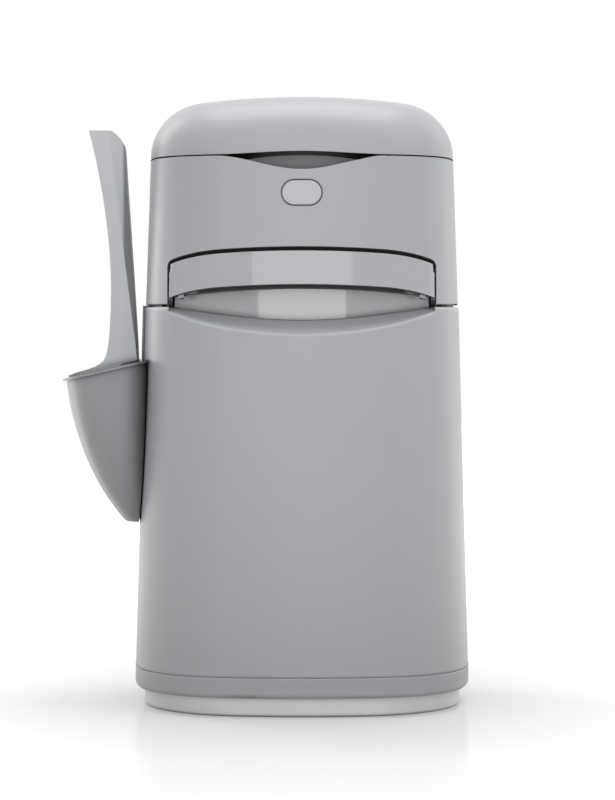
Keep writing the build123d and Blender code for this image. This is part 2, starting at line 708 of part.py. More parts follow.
def make_head_shell():
    outer = head_plug(HEAD_BOTTOM, HEAD_TOP)
    outer = fillet(outer_rim(outer, HEAD_BOTTOM), RIM_ROUND)
    outer = fillet(outer_rim(outer, HEAD_TOP), SPLIT_ROUND)
    shell = outer - head_plug(HEAD_BOTTOM - 2, HEAD_TOP + 2, WALL)
    shell -= opening_prism(0, -50, 40)
    shell -= notch_prism(NOTCH_HALF_WIDTH, NOTCH_DEPTH, HEAD_TOP, 4, -120, -80)
    shell -= stadium_y(BUTTON_WIDTH + 2 * BUTTON_GAP, BUTTON_HEIGHT + 2 * BUTTON_GAP, BUTTON_Z, -110, -85)
    shell += posts(6.6, DECK_SCREW_XS, DECK_SCREW_YS, 350, DECK_BOTTOM)
    middle = head_plug(HEAD_BOTTOM - 2, HEAD_TOP + 2, LUG_ROOT)
    shell += hinge_lugs(HEAD_LUGS, HEAD_HINGE_Y, HEAD_HINGE_Z, HEAD_KNUCKLE, 1) - middle
    shell -= bar_x(HINGE_PIN_RADIUS + PIN_CLEARANCE, -90, 90, HEAD_HINGE_Y, HEAD_HINGE_Z)
    shell += hinge_lugs(TOP_LUGS, LID_HINGE_Y, LID_HINGE_Z, LID_KNUCKLE, -1) - middle
    shell -= bar_x(HINGE_PIN_RADIUS, -70, 70, LID_HINGE_Y, LID_HINGE_Z)
    return shell - deck_screws()


def make_handle_recess():
    """The wall behind the handle, with its sloping ceiling, short cheeks and the latch's pivot ears."""
    wall = wall_behind(RECESS_WALL_Y, RECESS_WALL_RADIUS, RECESS_WALL_HALF_WIDTH, 255, 330)
    back = wall_behind(
        RECESS_WALL_Y + RECESS_WALL_THICKNESS, RECESS_WALL_RADIUS, RECESS_WALL_HALF_WIDTH + 2, 250, 335
    )
    wall -= back
    wall &= above_ramp(1.5, RAMP_HALF_WIDTH + 3.5)
    wall &= slide_box(-100, 100, -60, CEILING_HIGH, -90, 30)
    ceiling = slide_box(-CHEEK_OUTER, CHEEK_OUTER, CEILING_LOW, CEILING_HIGH, -60, 10)
    ceiling &= head_plug(HEAD_BOTTOM, 330, WALL + 0.05)
    ceiling -= wall_behind(RECESS_WALL_Y + RECESS_WALL_THICKNESS, RECESS_WALL_RADIUS, 120, 250, 335)
    cheeks = []
    for side in (-1, 1):
        low, high = both_sides(side, CHEEK_INNER, CHEEK_OUTER)
        cheeks.append(slide_box(low, high, -45, CEILING_HIGH, -60, 10))
    cheeks = (Part() + cheeks) & head_plug(HEAD_BOTTOM + 0.6, 330, WALL + 0.05)
    cheeks -= block(-100, 100, -60.5, 0, 250, 340)
    recess = wall + ceiling + cheeks
    for side in (-1, 1):
        x0, x1 = both_sides(side, EAR_INNER, EAR_OUTER)
        ear = block(x0, x1, -78.0, LEVER_PIVOT_Y, 306, 322.5)
        ear += bar_x(4.5, x0, x1, LEVER_PIVOT_Y, LEVER_PIVOT_Z)
        ear -= wall_front()
        recess += ear
    return recess - bar_x(LEVER_PIN_RADIUS, -16, 16, LEVER_PIVOT_Y, LEVER_PIVOT_Z)


def wall_front():
    """What lies in front of the recess wall's rear face, above the ceiling excepted."""
    behind = wall_behind(RECESS_WALL_Y + 0.5, RECESS_WALL_RADIUS, 30, 200, 400)
    return block(-30, 30, -100, -60, 200, 400) - behind


def make_grip_pocket():
    """The arched wall behind the notch, where fingers reach under the lid, on its own floor."""
    half = NOTCH_HALF_WIDTH + 1.5
    top = GRIP_WALL_TOP + 1
    above = GRIP_WALL_TOP + 3
    pocket = head_plug(GRIP_FLOOR, top, WALL + 0.05)
    pocket -= head_plug(GRIP_FLOOR - 1, above, GRIP_WALL_INSET + GRIP_WALL)
    room = head_plug(GRIP_FLOOR + GRIP_WALL, above, WALL) - head_plug(GRIP_FLOOR, above + 2, GRIP_WALL_INSET)
    front = (pocket - room) & block(-half, half, -120, -60, GRIP_FLOOR, top)
    arch = bar_y(GRIP_WALL_RADIUS, 0, -120, -50, GRIP_WALL_TOP - GRIP_WALL_RADIUS)
    return front & arch


def make_cassette_well():
    outer = WELL_RADIUS + WELL_WALL
    floor = WELL_WALL
    well = tube_z(outer, WELL_RADIUS, WELL_Y, WELL_FLOOR, DECK_TOP)
    well += tube_z(outer, THROAT_RADIUS, WELL_Y, WELL_FLOOR, WELL_FLOOR + floor)
    well += tube_z(THROAT_RADIUS + THROAT_WALL, THROAT_RADIUS, WELL_Y, THROAT_BOTTOM, WELL_FLOOR + floor)
    deck = head_plug(DECK_BOTTOM, DECK_TOP, WALL + 0.1)
    deck -= bar_z(WELL_RADIUS, 0, WELL_Y, DECK_BOTTOM - 1, DECK_TOP + 1)
    behind_pocket = head_plug(DECK_BOTTOM - 1, DECK_TOP + 1, GRIP_WALL_INSET + GRIP_WALL + 0.3)
    deck -= block(-NOTCH_HALF_WIDTH - 2.5, NOTCH_HALF_WIDTH + 2.5, -110, -60, 360, 390) - behind_pocket
    xs, ys = plate_screw_lines()
    well += deck
    well += posts(4.5, xs, ys, FRAME_TOP, WELL_FLOOR + floor)
    return well - deck_screws() - frame_screws()


def make_clamp_frame():
    """The frame under the well: side plates with guide ribs for the arms, a front bar and a top plate."""
    top = block(-FRAME_PLATE_OUTER, FRAME_PLATE_OUTER, -58, 62, FRAME_TOP - FRAME_PLATE, FRAME_TOP)
    top -= bar_z(THROAT_RADIUS + THROAT_WALL + 1.0, 0, WELL_Y, 300, 340)
    frame = top
    web_line = [(-56, FRAME_TOP), (18, FRAME_TOP), (18, 262), (-9, 262), (-56, 278.5)]
    for side in (-1, 1):
        low, high = both_sides(side, FRAME_PLATE_INNER, FRAME_PLATE_OUTER)
        plane = Plane(origin=(low, 0, 0), x_dir=(0, 1, 0), z_dir=(1, 0, 0))
        frame += extrude(plane * make_face(Polyline(*web_line, close=True)), high - low)
        low, high = both_sides(side, FRAME_RIB_INNER, FRAME_PLATE_INNER + 0.5)
        for v0, v1 in ((ARM_TOP + 0.6, ARM_TOP + 3.0), (ARM_BOTTOM - 3.0, ARM_BOTTOM - 0.6)):
            frame += slide_box(low, high, v0, v1, -100, -44)
    bar_front = FRAME_FRONT_BAR + FRAME_BAR_DEPTH
    frame += slide_box(-79, 79, ROD_LINE - 6, ROD_LINE + 6, FRAME_FRONT_BAR, bar_front)
    for side in (-1, 1):
        low, high = both_sides(side, 72.0, FRAME_PLATE_OUTER)
        frame += slide_box(low, high, ROD_LINE + 5.9, ROD_LINE + 9, FRAME_FRONT_BAR - 8, bar_front)
    frame -= spring_rods()
    return frame - frame_screws() - jaw_screws()


def handle_screws():
    """Screws through the handle's arms into the front jaw."""
    parts = []
    for v in ARM_SCREW_VS:
        for side in (-1, 1):
            seat = SLIDE.from_local_coords((side * (ARM_OUTER + 0.3), v, ARM_SCREW_U))
            turn = Rot(0, -90 * side, 0)
            parts.append(Pos(seat.X, seat.Y, seat.Z) * turn * screw(*ARM_SCREW, recess=0.28))
    return Compound(children=parts)


def spring_rods():
    parts = []
    for x in (-ROD_X, ROD_X):
        parts.append(slide_rod(ROD_RADIUS, x, ROD_LINE, -114, FRAME_FRONT_BAR + FRAME_BAR_DEPTH))
    return Compound(children=parts)


def make_clamp_springs():
    """Compression springs on the rods, from the front bar back to the moving jaw."""
    parts = []
    front = FRAME_FRONT_BAR - 0.3
    rear = JAW_FRONT_U + 0.5
    for x in (-ROD_X, ROD_X):
        spring = coil(SPRING_RADIUS, SPRING_WIRE, front - rear - 2 * SPRING_WIRE, SPRING_COILS)
        parts.append(SLIDE.location * Pos(x, ROD_LINE, rear + SPRING_WIRE) * spring)
    return Compound(children=parts)


def jaw_channel(y0, y1):
    """The channel along a jaw's outer face, between its two flanges."""
    return block(-JAW_PAD_HALF, JAW_PAD_HALF, y0, y1, JAW_BOTTOM + JAW_FLANGE, JAW_TOP - JAW_FLANGE)


def make_rear_jaw():
    y0 = JAW_FACE_GAP + JAW_PAD
    y1 = y0 + JAW_DEPTH
    half = FRAME_PLATE_INNER - 0.02
    jaw = block(-half, half, y0, y1, JAW_BOTTOM, JAW_TOP)
    jaw -= jaw_channel(y1 - JAW_GROOVE, y1 + 1)
    jaw -= spring_rods()
    return jaw - jaw_screws()


def make_jaw_pad(side):
    """A ribbed rubber strip on a jaw: side is -1 on the moving jaw and 1 on the fixed one."""
    near, far = both_sides(side, JAW_FACE_GAP, JAW_FACE_GAP + JAW_PAD)
    half = JAW_PAD_HALF
    pad = block(-half, half, near, far, JAW_BOTTOM + 1, JAW_TOP - 1)
    for z in (JAW_BOTTOM + 4, JAW_BOTTOM + 8):
        pad -= bar_x(0.5, -half - 1, half + 1, side * JAW_FACE_GAP, z)
    return pad


def make_film_cutter():
    body = block(87, 100, -13, 21, DECK_TOP, DECK_TOP + CUTTER_HEIGHT)
    body = fillet(body.edges().filter_by(Axis.Z), 3.0)
    body = fillet(body.faces().sort_by(Axis.Z)[-1].edges(), 1.0)
    body -= block(86, 95, 2.6, 5.4, DECK_TOP + 1.6, DECK_TOP + 9)
    return body - cutter_blade()


def cutter_blade():
    """A short blade lying across the slot of the cutter."""
    corners = [(89.5, 1.0), (94.5, 7.0), (97.0, 5.0), (92.0, -1.0)]
    face = Plane(origin=(0, 0, DECK_TOP + 3.4)) * make_face(Polyline(*corners, close=True))
    return extrude(face, 0.5)


def make_cassette_tray():
    floor_low = WELL_FLOOR + WELL_WALL + 0.1
    inner = THROAT_RADIUS + 1.2
    wall_top = CASSETTE_TOP - CASSETTE_LIP
    tray = tube_z(CASSETTE_RADIUS, inner, WELL_Y, floor_low, floor_low + CASSETTE_WALL)
    tray += tube_z(CASSETTE_RADIUS, CASSETTE_RADIUS - CASSETTE_WALL, WELL_Y, floor_low, wall_top)
    tray += tube_z(inner + CASSETTE_WALL, inner, WELL_Y, floor_low, CASSETTE_TOP - 8)
    return tray


def make_cassette_cap():
    """The ring that closes the cassette, open round its inside for the film."""
    lip_low = CASSETTE_TOP - CASSETTE_LIP
    inner = THROAT_RADIUS + CASSETTE_SLIT
    cap = tube_z(CASSETTE_RADIUS, inner, WELL_Y, lip_low + 0.02, CASSETTE_TOP)
    cap += tube_z(inner + 1.5, inner, WELL_Y, lip_low - 4, CASSETTE_TOP)
    rib = block(-4.5, 4.5, -0.8, 0.8, CASSETTE_TOP - 0.5, CASSETTE_TOP + 2.4)
    for angle in (45, 135, 225, 315):
        cap += Pos(0, WELL_Y, 0) * Rot(0, 0, angle) * Pos(CAP_RIB_RADIUS, 0, 0) * rib
    return cap


def make_film_pack():
    """The pleated film packed in the cassette, as a closed ring."""
    inner = THROAT_RADIUS + 1.2 + CASSETTE_WALL + 0.6
    return tube_z(CASSETTE_RADIUS - CASSETTE_WALL - 0.6, inner, WELL_Y, WELL_FLOOR + 5, CASSETTE_TOP - 9)


def make_latch_pivot_pin():
    return bar_x(LEVER_PIN_RADIUS, -14.2, 14.2, LEVER_PIVOT_Y, LEVER_PIVOT_Z)


def make_latch_spring():
    """A torsion spring round the pivot pin beside the lever."""
    turns = coil(3.3, 0.45, 4.2, 4)
    return Location((LEVER_HALF_WIDTH + 0.9, LEVER_PIVOT_Y, LEVER_PIVOT_Z)) * Rot(0, 90, 0) * turns


# ------------------------------------------------------------------ handle

def make_handle_band():
    """The pull handle: a channel open below, and an arm at each end that runs back to the jaw."""
    band = slide_box(-BAND_HALF_WIDTH, BAND_HALF_WIDTH, BAND_BOTTOM, BAND_TOP, -60, 20)
    band &= head_plug(HEAD_BOTTOM - 10, 340, 0.1)
    band -= wall_behind(BAND_REAR_Y, BAND_REAR_RADIUS, 100, 250, 340)
    inner = BAND_HALF_WIDTH - BAND_SKIN
    channel = slide_box(-inner, inner, BAND_BOTTOM - 1, BAND_TOP - BAND_SKIN, -60, 20)
    channel &= head_plug(HEAD_BOTTOM - 20, 350, BAND_SKIN + 0.1)
    channel -= wall_behind(BAND_REAR_Y - BAND_SKIN, BAND_REAR_RADIUS, 100, 250, 340)
    band -= channel
    for side in (-1, 1):
        low, high = both_sides(side, ARM_INNER, ARM_OUTER)
        arm = slide_box(low, high, ARM_BOTTOM, ARM_TOP, ARM_REAR, 10)
        arm &= head_plug(240, 340, 0.1)
        band += arm
        low, high = both_sides(side, LUG_X - 2, LUG_X + 2)
        lug = slide_box(low, high, BAND_BOTTOM - 2.4, BAND_BOTTOM + 0.5, -40, 10)
        lug &= head_plug(HEAD_BOTTOM - 10, 340, 1.5)
        lug -= wall_behind(BAND_REAR_Y - 1.0, BAND_REAR_RADIUS, 100, 250, 340)
        band += lug
    return band - handle_screws()


def make_front_jaw():
    half = ARM_INNER - 0.02
    jaw = block(-half, half, JAW_FRONT_Y, JAW_FRONT_Y + JAW_DEPTH, JAW_BOTTOM, JAW_TOP)
    jaw -= jaw_channel(JAW_FRONT_Y - 1, JAW_FRONT_Y + JAW_GROOVE)
    for x in (-ROD_X, ROD_X):
        jaw -= slide_rod(ROD_RADIUS + ROD_CLEARANCE, x, ROD_LINE, -130, -60)
    return jaw - handle_screws()


# ------------------------------------------------------------------ button, latch, lid, scoop

def make_release_button():
    front = head_plug(330, 375, -0.35)
    face = stadium_y(BUTTON_WIDTH, BUTTON_HEIGHT, BUTTON_Z, -110, -94.2) & front
    face = fillet(face.faces().sort_by(Axis.Y)[0].edges(), 0.5)
    flange = stadium_y(BUTTON_WIDTH + 4.0, BUTTON_HEIGHT + 4.0, BUTTON_Z, -93.1, -92.1)
    stem = bar_y(BUTTON_STEM, 0, -92.5, LEVER_FACE_Y - STEM_GAP, BUTTON_Z)
    core = stadium_y(BUTTON_WIDTH - 1, BUTTON_HEIGHT - 1, BUTTON_Z, -95.0, -92.5)
    return face + core + flange + stem


def make_latch_lever():
    half = LEVER_HALF_WIDTH
    upper = block(-half, half, LEVER_FACE_Y, LEVER_FACE_Y + LEVER_THICKNESS, 323.2, 361)
    jog = block(-half, half, LEVER_FACE_Y, LEVER_PIVOT_Y + 2, 322.4, 325.2)
    neck = block(-half, half, LEVER_PIVOT_Y - 2.4, LEVER_PIVOT_Y + 2.2, LEVER_PIVOT_Z, 325.2)
    hub = bar_x(4.2, -half, half, LEVER_PIVOT_Y, LEVER_PIVOT_Z)
    lower = block(-half, half, LEVER_LOWER_Y, LEVER_LOWER_Y + 3.0, HOOK_BOTTOM, LEVER_PIVOT_Z)
    nose_top = KEEPER_TOP - KEEPER_THICKNESS - KEEPER_PLAY
    nose_line = [
        (LEVER_LOWER_Y + 2.5, nose_top), (HOOK_TIP_Y, nose_top),
        (HOOK_TIP_Y, nose_top - 1.25), (LEVER_LOWER_Y + 2.5, HOOK_BOTTOM),
    ]
    plane = Plane(origin=(-half, 0, 0), x_dir=(0, 1, 0), z_dir=(1, 0, 0))
    nose = extrude(plane * make_face(Polyline(*nose_line, close=True)), 2 * half)
    lever = upper + jog + neck + hub + lower + nose
    return lever - bar_x(LEVER_PIN_RADIUS + PIN_CLEARANCE, -half - 1, half + 1, LEVER_PIVOT_Y, LEVER_PIVOT_Z)


def dome(further, bottom):
    """The lid's outer form drawn in by a wall: straight tapered sides, a round edge and a slight crown."""
    sides = head_plug(bottom, 440, further)
    crown_radius = DOME_CROWN_RADIUS - further
    crown = Pos(0, 0, LID_TOP - DOME_CROWN_RADIUS) * Sphere(crown_radius)
    body = sides & crown
    top = body.faces().sort_by(Axis.Z)[-1]
    return fillet(top.edges(), DOME_EDGE_RADIUS - further)


def make_lid_shell():
    outer = dome(0, LID_BOTTOM)
    inner = dome(LID_WALL, LID_BOTTOM - 2)
    shell = outer - inner
    shell += [post & outer for post in posts(4.2, LID_SCREW_XS, LID_SCREW_YS, 387.05, 430)]
    shell -= notch_prism(NOTCH_HALF_WIDTH, -LID_ARCH, LID_BOTTOM, -4, -120, -80)
    shell += hinge_lugs(LID_LUGS, LID_HINGE_Y, LID_HINGE_Z, LID_KNUCKLE, 1) - dome(LUG_ROOT, LID_BOTTOM - 2)
    shell -= bar_x(HINGE_PIN_RADIUS + PIN_CLEARANCE, -70, 70, LID_HINGE_Y, LID_HINGE_Z)
    return shell - lid_screws()


def make_lid_liner():
    """The flat inner panel of the lid, with a round carrier for the seal."""
    liner = head_plug(385.0, 387.0, LID_WALL + 0.6)
    liner -= bar_z(50, 0, WELL_Y, 384, 386.0)
    liner += tube_z(WELL_RADIUS + 4.6, WELL_RADIUS + 0.4, WELL_Y, 380.0, 386.0)
    return liner - lid_screws()


def make_lid_seal():
    return tube_z(WELL_RADIUS + 4.2, WELL_RADIUS + 1.2, WELL_Y, DECK_TOP + 0.3, 379.98)


def scoop_profile(shift_x, drop):
    """The scoop grip seen from the front: two slow curves that part at the top and at the shoulder."""
    left = [(-150.7, 402.5 - drop), (-144.9, 377.4), (-140.0, 349.4), (-136.3, 316.8),
            (-135.3, 286.0), (-136.6, 258.0), (-138.2, 246.0), (-140.6, 240.0), (-144.6, 236.6),
            (-153.0, 233.2), (-162.0, 230.6)]
    right = [(-116.5, 236.0), (-118.8, 278.5), (-121.7, 325.5), (-124.4, 367.5), (-125.6, 388.0)]
    left = [(x + shift_x, z) for x, z in left]
    right = [(x + shift_x, z) for x, z in right]
    left_side = Spline(*left)
    right_side = Spline(*right)
    shoulder = (-127.4 + shift_x, 394.6 - drop / 2)
    corner = ThreePointArc(right[-1], shoulder, (-135.6 + shift_x, 402.5 - drop))
    top = Line((-135.6 + shift_x, 402.5 - drop), left[0])
    tail = left[-1]
    bottom = Polyline(tail, (tail[0], tail[1] - 1.4), right[0])
    plane = Plane(origin=(0, 0, 0), x_dir=(1, 0, 0), z_dir=(0, -1, 0))
    return plane * make_face(Curve() + [left_side, bottom, right_side, corner, top])


def scoop_section(z, outer_x, inner_x, half_y, outer_corner, inner_corner):
    """One level of the scoop's blade: inner is the pail side, outer the open side."""
    centre = (outer_x + inner_x) / 2
    face = Pos(centre, 0, z) * Rectangle(inner_x - outer_x, 2 * half_y)
    face = fillet(face.vertices().group_by(Axis.X)[-1], inner_corner)
    return fillet(face.vertices().group_by(Axis.X)[0], outer_corner)


def make_litter_scoop():
    """A slotted blade with side walls and a rear wall that follows the holder's rim, and a long grip."""
    grip = extrude(scoop_profile(0, 0), SCOOP_HALF_GRIP, both=True)
    hollow = extrude(scoop_profile(3.4, 8.0), SCOOP_HALF_GRIP - SCOOP_SKIN, both=True)
    hollow &= block(-200, -100, -40, 40, SCOOP_HOLLOW_BOTTOM, 410)
    for side in (-1, 1):
        grip -= ridge_cut(side)
    grip -= hollow
    low_x = SCOOP_FLOOR_BOTTOM_X
    high_x = SCOOP_FLOOR_TOP_X
    outer = loft([
        scoop_section(SCOOP_BLADE_BOTTOM, low_x - 5.0, low_x, 19.5, 1.5, 2.0),
        scoop_section(SCOOP_BLADE_TOP, high_x - 53.0, high_x, 48.5, 24.0, 12.0),
    ])
    inner = loft([
        scoop_section(SCOOP_BLADE_BOTTOM - 3, low_x - 40.6, low_x - SCOOP_FLOOR, 16.5, 1.0, 1.5),
        scoop_section(SCOOP_BLADE_TOP, high_x - 98.0, high_x - SCOOP_FLOOR, 46.5, 1.0, 10.0),
    ])
    outer &= slanted_slab(-300, SCOOP_REAR_RISE)
    inner &= slanted_slab(-300, SCOOP_REAR_RISE - SCOOP_REAR_WALL)
    blade = outer - inner
    for low, high, columns in SCOOP_SLOT_ROWS:
        for column in range(-columns, columns + 1):
            middle = column * SCOOP_SLOT_PITCH
            blade -= block(-124, -112, middle - SCOOP_SLOT_HALF, middle + SCOOP_SLOT_HALF, low, high)
    return grip + blade


def ridge_cut(side):
    """The facet down each flank of the grip: wide at the top, running out near the shoulder."""
    upper = Vector(-135.6, side * SCOOP_HALF_GRIP, 391.0)
    lower = Vector(-119.6, side * SCOOP_HALF_GRIP, 263.0)
    inward = Vector(-122.0, side * (SCOOP_HALF_GRIP - SCOOP_FACET), 391.0)
    normal = (lower - upper).cross(inward - upper).normalized()
    if normal.Y * side < 0:
        normal = normal * -1
    plane = Plane(origin=upper, z_dir=normal)
    return plane.location * Pos(0, 0, 30) * Box(400, 400, 60)


def make_hinge_pin(half_length, y, z):
    return bar_x(HINGE_PIN_RADIUS, -half_length, half_length, y, z)


# ------------------------------------------------------------------ every node

save(make_base_shell(), "base_shell")
save(make_trim_ring(), "trim_ring")
save(make_foot_plinth(), "foot_plinth")
save(Compound(children=grip_pads(SOLE, SOLE + PAD_HEIGHT)), "grip_pads")
save(foot_screws(), "foot_screws")
save(make_rim_collar(), "rim_collar")
save(make_rim_bumpers(), "rim_bumpers")
save(make_latch_keeper(), "latch_keeper")
save(keeper_screws(), "keeper_screws")
save(make_scoop_holder(), "scoop_holder")
save(make_holder_bumper(), "holder_bumper")
save(make_hinge_pin(60.5, HEAD_HINGE_Y, HEAD_HINGE_Z), "head_hinge_pin")

save(make_head_shell(), "head_shell")
save(make_handle_recess(), "handle_recess")
save(make_grip_pocket(), "grip_pocket")
save(make_cassette_well(), "cassette_well")
save(deck_screws(), "deck_screws")
save(make_clamp_frame(), "clamp_frame")
save(frame_screws(), "frame_screws")
save(make_rear_jaw(), "rear_jaw")
save(make_jaw_pad(1), "rear_jaw_pad")
save(jaw_screws(), "jaw_screws")
save(spring_rods(), "spring_rods")
save(make_clamp_springs(), "clamp_springs")
save(make_film_cutter(), "film_cutter")
save(cutter_blade(), "cutter_blade")
save(make_cassette_tray(), "cassette_tray")
save(make_cassette_cap(), "cassette_cap")
save(make_film_pack(), "film_pack")
save(make_latch_pivot_pin(), "latch_pivot_pin")
save(make_latch_spring(), "latch_spring")
save(make_hinge_pin(44.5, LID_HINGE_Y, LID_HINGE_Z), "lid_hinge_pin")

save(make_handle_band(), "handle_band")
save(make_front_jaw(), "front_jaw")
save(make_jaw_pad(-1), "front_jaw_pad")
save(handle_screws(), "handle_screws")

save(make_release_button(), "release_button")
save(make_latch_lever(), "latch_lever")

save(make_lid_shell(), "lid_shell")
save(make_lid_liner(), "lid_liner")
save(make_lid_seal(), "lid_seal")
save(lid_screws(), "lid_screws")

save(make_litter_scoop(), "litter_scoop")
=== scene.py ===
# %% [markdown]
# # A litter disposal pail, dressed and lit
# The pail's real parts are already built in a CAD program and packed as a fixed frame.
# This lesson loads that frame, gives every part the finish of the real one, adds the few
# pieces that a mesh does better than CAD, and lights the whole like a catalogue picture.

# %% Load the frame
from math import atan, cos, pi, radians, sin

import bmesh
import bpy
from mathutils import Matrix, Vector


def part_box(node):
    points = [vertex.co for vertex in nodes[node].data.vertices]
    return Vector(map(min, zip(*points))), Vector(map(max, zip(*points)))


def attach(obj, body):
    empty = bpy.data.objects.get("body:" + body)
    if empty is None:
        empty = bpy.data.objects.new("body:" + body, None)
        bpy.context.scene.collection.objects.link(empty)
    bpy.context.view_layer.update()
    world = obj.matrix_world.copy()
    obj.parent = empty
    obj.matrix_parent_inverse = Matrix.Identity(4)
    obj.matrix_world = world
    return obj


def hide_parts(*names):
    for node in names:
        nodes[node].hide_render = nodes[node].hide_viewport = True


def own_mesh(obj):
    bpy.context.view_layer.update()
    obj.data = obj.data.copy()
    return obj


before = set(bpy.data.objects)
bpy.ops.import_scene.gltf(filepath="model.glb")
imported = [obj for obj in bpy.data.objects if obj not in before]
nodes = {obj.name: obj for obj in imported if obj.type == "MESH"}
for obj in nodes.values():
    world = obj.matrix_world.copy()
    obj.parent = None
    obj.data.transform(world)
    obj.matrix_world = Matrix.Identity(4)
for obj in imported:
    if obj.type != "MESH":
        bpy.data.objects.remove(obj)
scene = bpy.context.scene
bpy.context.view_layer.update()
MM = 0.001

# %% [markdown]
# ## Small tools for node trees
# A procedural material is a chain of shader nodes. A few helpers keep each chain readable:
# they add a node and set its sockets, join two sockets, or do one sum. Two more start an
# empty shader node group with named inputs and outputs, so that an effect is built only
# once, and place that group in a material with the material's own values.

# %% Node helpers
def add(tree, kind, label=None, **sockets):
    """Adds a node and sets the named input sockets."""
    node = tree.nodes.new("ShaderNode" + kind)
    if label:
        node.label = label
    for name, value in sockets.items():
        node.inputs[name.replace("_", " ")].default_value = value
    return node


def join(tree, output, target):
    """Joins an output socket to an input socket."""
    tree.links.new(output, target)


def vector_node(tree, operation, label, first):
    """A Vector Math node whose first input is a socket."""
    node = add(tree, "VectorMath", label)
    node.operation = operation
    join(tree, first, node.inputs[0])
    return node


def math_node(tree, operation, first, second=None):
    """A Math node whose inputs are sockets or plain numbers."""
    node = add(tree, "Math")
    node.operation = operation
    for slot, value in zip(node.inputs, (first, second)):
        if value is None:
            continue
        if hasattr(value, "is_linked"):
            join(tree, value, slot)
        else:
            slot.default_value = value
    return node.outputs[0]


def start_group(name, inputs, outputs):
    """An empty shader group: inputs are (name, type, default), outputs are (name, type)."""
    group = bpy.data.node_groups.new(name, "ShaderNodeTree")
    for label, kind, default in inputs:
        socket = group.interface.new_socket(label, in_out="INPUT", socket_type="NodeSocket" + kind)
        if default is not None:
            socket.default_value = default
    for label, kind in outputs:
        group.interface.new_socket(label, in_out="OUTPUT", socket_type="NodeSocket" + kind)
    return group, group.nodes.new("NodeGroupInput"), group.nodes.new("NodeGroupOutput")


def use_group(tree, group, **sockets):
    """Places a group in a material, with its own values."""
    node = tree.nodes.new("ShaderNodeGroup")
    node.node_tree = group
    for name, value in sockets.items():
        node.inputs[name.replace("_", " ")].default_value = value
    return node


print("node helpers ready")

# %% [markdown]
# ## Effect 1: moulded skin
# A moulded case isn't perfectly flat. The tool's spark texture leaves a fine grain, and the
# plastic cools with a very slow waviness. Noise in object space gives both: small cells for
# the grain and large ones for the slow change of tone and gloss.

# %% Moulded skin group
def make_moulded_skin():
    group, given, result = start_group(
        "moulded_skin",
        [("Place", "Vector", None), ("Grain Size", "Float", 900.0), ("Grain Depth", "Float", 1.0)],
        [("Height", "Float"), ("Mottle", "Float"), ("Gloss Drift", "Float")],
    )
    grain = add(group, "TexNoise", "spark texture", Detail=3.0, Roughness=0.6)
    join(group, given.outputs["Place"], grain.inputs["Vector"])
    join(group, given.outputs["Grain Size"], grain.inputs["Scale"])
    height = math_node(group, "MULTIPLY", grain.outputs[0], given.outputs["Grain Depth"])
    join(group, height, result.inputs["Height"])
    slow = add(group, "TexNoise", "slow change of tone", Scale=9.0, Detail=2.0)
    join(group, given.outputs["Place"], slow.inputs["Vector"])
    join(group, slow.outputs[0], result.inputs["Mottle"])
    drift = add(group, "TexNoise", "slow change of gloss", Scale=21.0, Detail=4.0, Roughness=0.65)
    join(group, given.outputs["Place"], drift.inputs["Vector"])
    join(group, drift.outputs[0], result.inputs["Gloss Drift"])
    return group


moulded_skin = make_moulded_skin()
print("group", moulded_skin.name)

# %% [markdown]
# ## Effect 2: rounded edges
# No moulded edge is knife sharp: each has a radius of a few tenths of a millimetre that
# catches a thin line of light. The Bevel node bends the normals near an edge by that radius,
# which costs no geometry. Its Normal goes on into each material's Bump node.

# %% Rounded edge group
def make_round_edge():
    group, given, result = start_group(
        "round_edge", [("Radius", "Float", 0.0005)], [("Normal", "Vector")],
    )
    bevel = add(group, "Bevel", "edge radius")
    bevel.samples = 6
    join(group, given.outputs["Radius"], bevel.inputs["Radius"])
    join(group, bevel.outputs[0], result.inputs["Normal"])
    return group


round_edge = make_round_edge()
print("group", round_edge.name)

# %% [markdown]
# ## Effect 3: painted shade in crevices
# Soft studio light hardly reaches into a narrow gap, so the joints between parts read as
# dark lines and the inner corners fade. This group paints that shade into the colour:
# ambient occlusion measures how much of the view around a point is blocked within a short
# reach. Its power sets how quickly the painted shade turns dark.

# %% Painted gap shade group
def make_painted_gap_shade():
    group, given, result = start_group(
        "painted_gap_shade", [("Reach", "Float", 0.005), ("Power", "Float", 1.0)], [("Shade", "Float")],
    )
    around = add(group, "AmbientOcclusion", "how much is blocked")
    around.samples = 8
    join(group, given.outputs["Reach"], around.inputs["Distance"])
    shade = math_node(group, "POWER", around.outputs["AO"], given.outputs["Power"])
    join(group, shade, result.inputs["Shade"])
    return group


painted_gap_shade = make_painted_gap_shade()
print("group", painted_gap_shade.name)

# %% [markdown]
# ## Effect 4: handling
# Where fingers and bags brush a part, its gloss turns uneven. Two noises multiplied together
# give broken patches, and these only nudge the roughness.

# %% Handling group
def make_handling():
    group, given, result = start_group(
        "handling", [("Place", "Vector", None), ("Amount", "Float", 0.5)], [("Smudge", "Float")],
    )
    broad = add(group, "TexNoise", "where hands go", Scale=14.0, Detail=2.0)
    fine = add(group, "TexNoise", "broken patches", Scale=95.0, Detail=5.0, Roughness=0.7)
    join(group, given.outputs["Place"], broad.inputs["Vector"])
    join(group, given.outputs["Place"], fine.inputs["Vector"])
    patches = math_node(group, "MULTIPLY", broad.outputs[0], fine.outputs[0])
    smudge = math_node(group, "MULTIPLY", patches, given.outputs["Amount"])
    join(group, smudge, result.inputs["Smudge"])
    return group


handling = make_handling()
print("group", handling.name)

# %% [markdown]
# ## Effect 5: masks by direction and by place
# Some painted shade or highlight belongs to a part of one moulding only, such as its
# underside or its back. One mask rises where the surface looks along a direction. The other
# rises along a direction in space, and may follow a bowed shape: its bow adds that much times
# x squared. A Map Range node gives both a soft threshold, and a span from high to low makes the mask fall.

# %% Mask groups
MASK_INPUTS = [("Direction", "Vector", (0.0, 0.0, 1.0)), ("Low", "Float", 0.0), ("High", "Float", 1.0)]


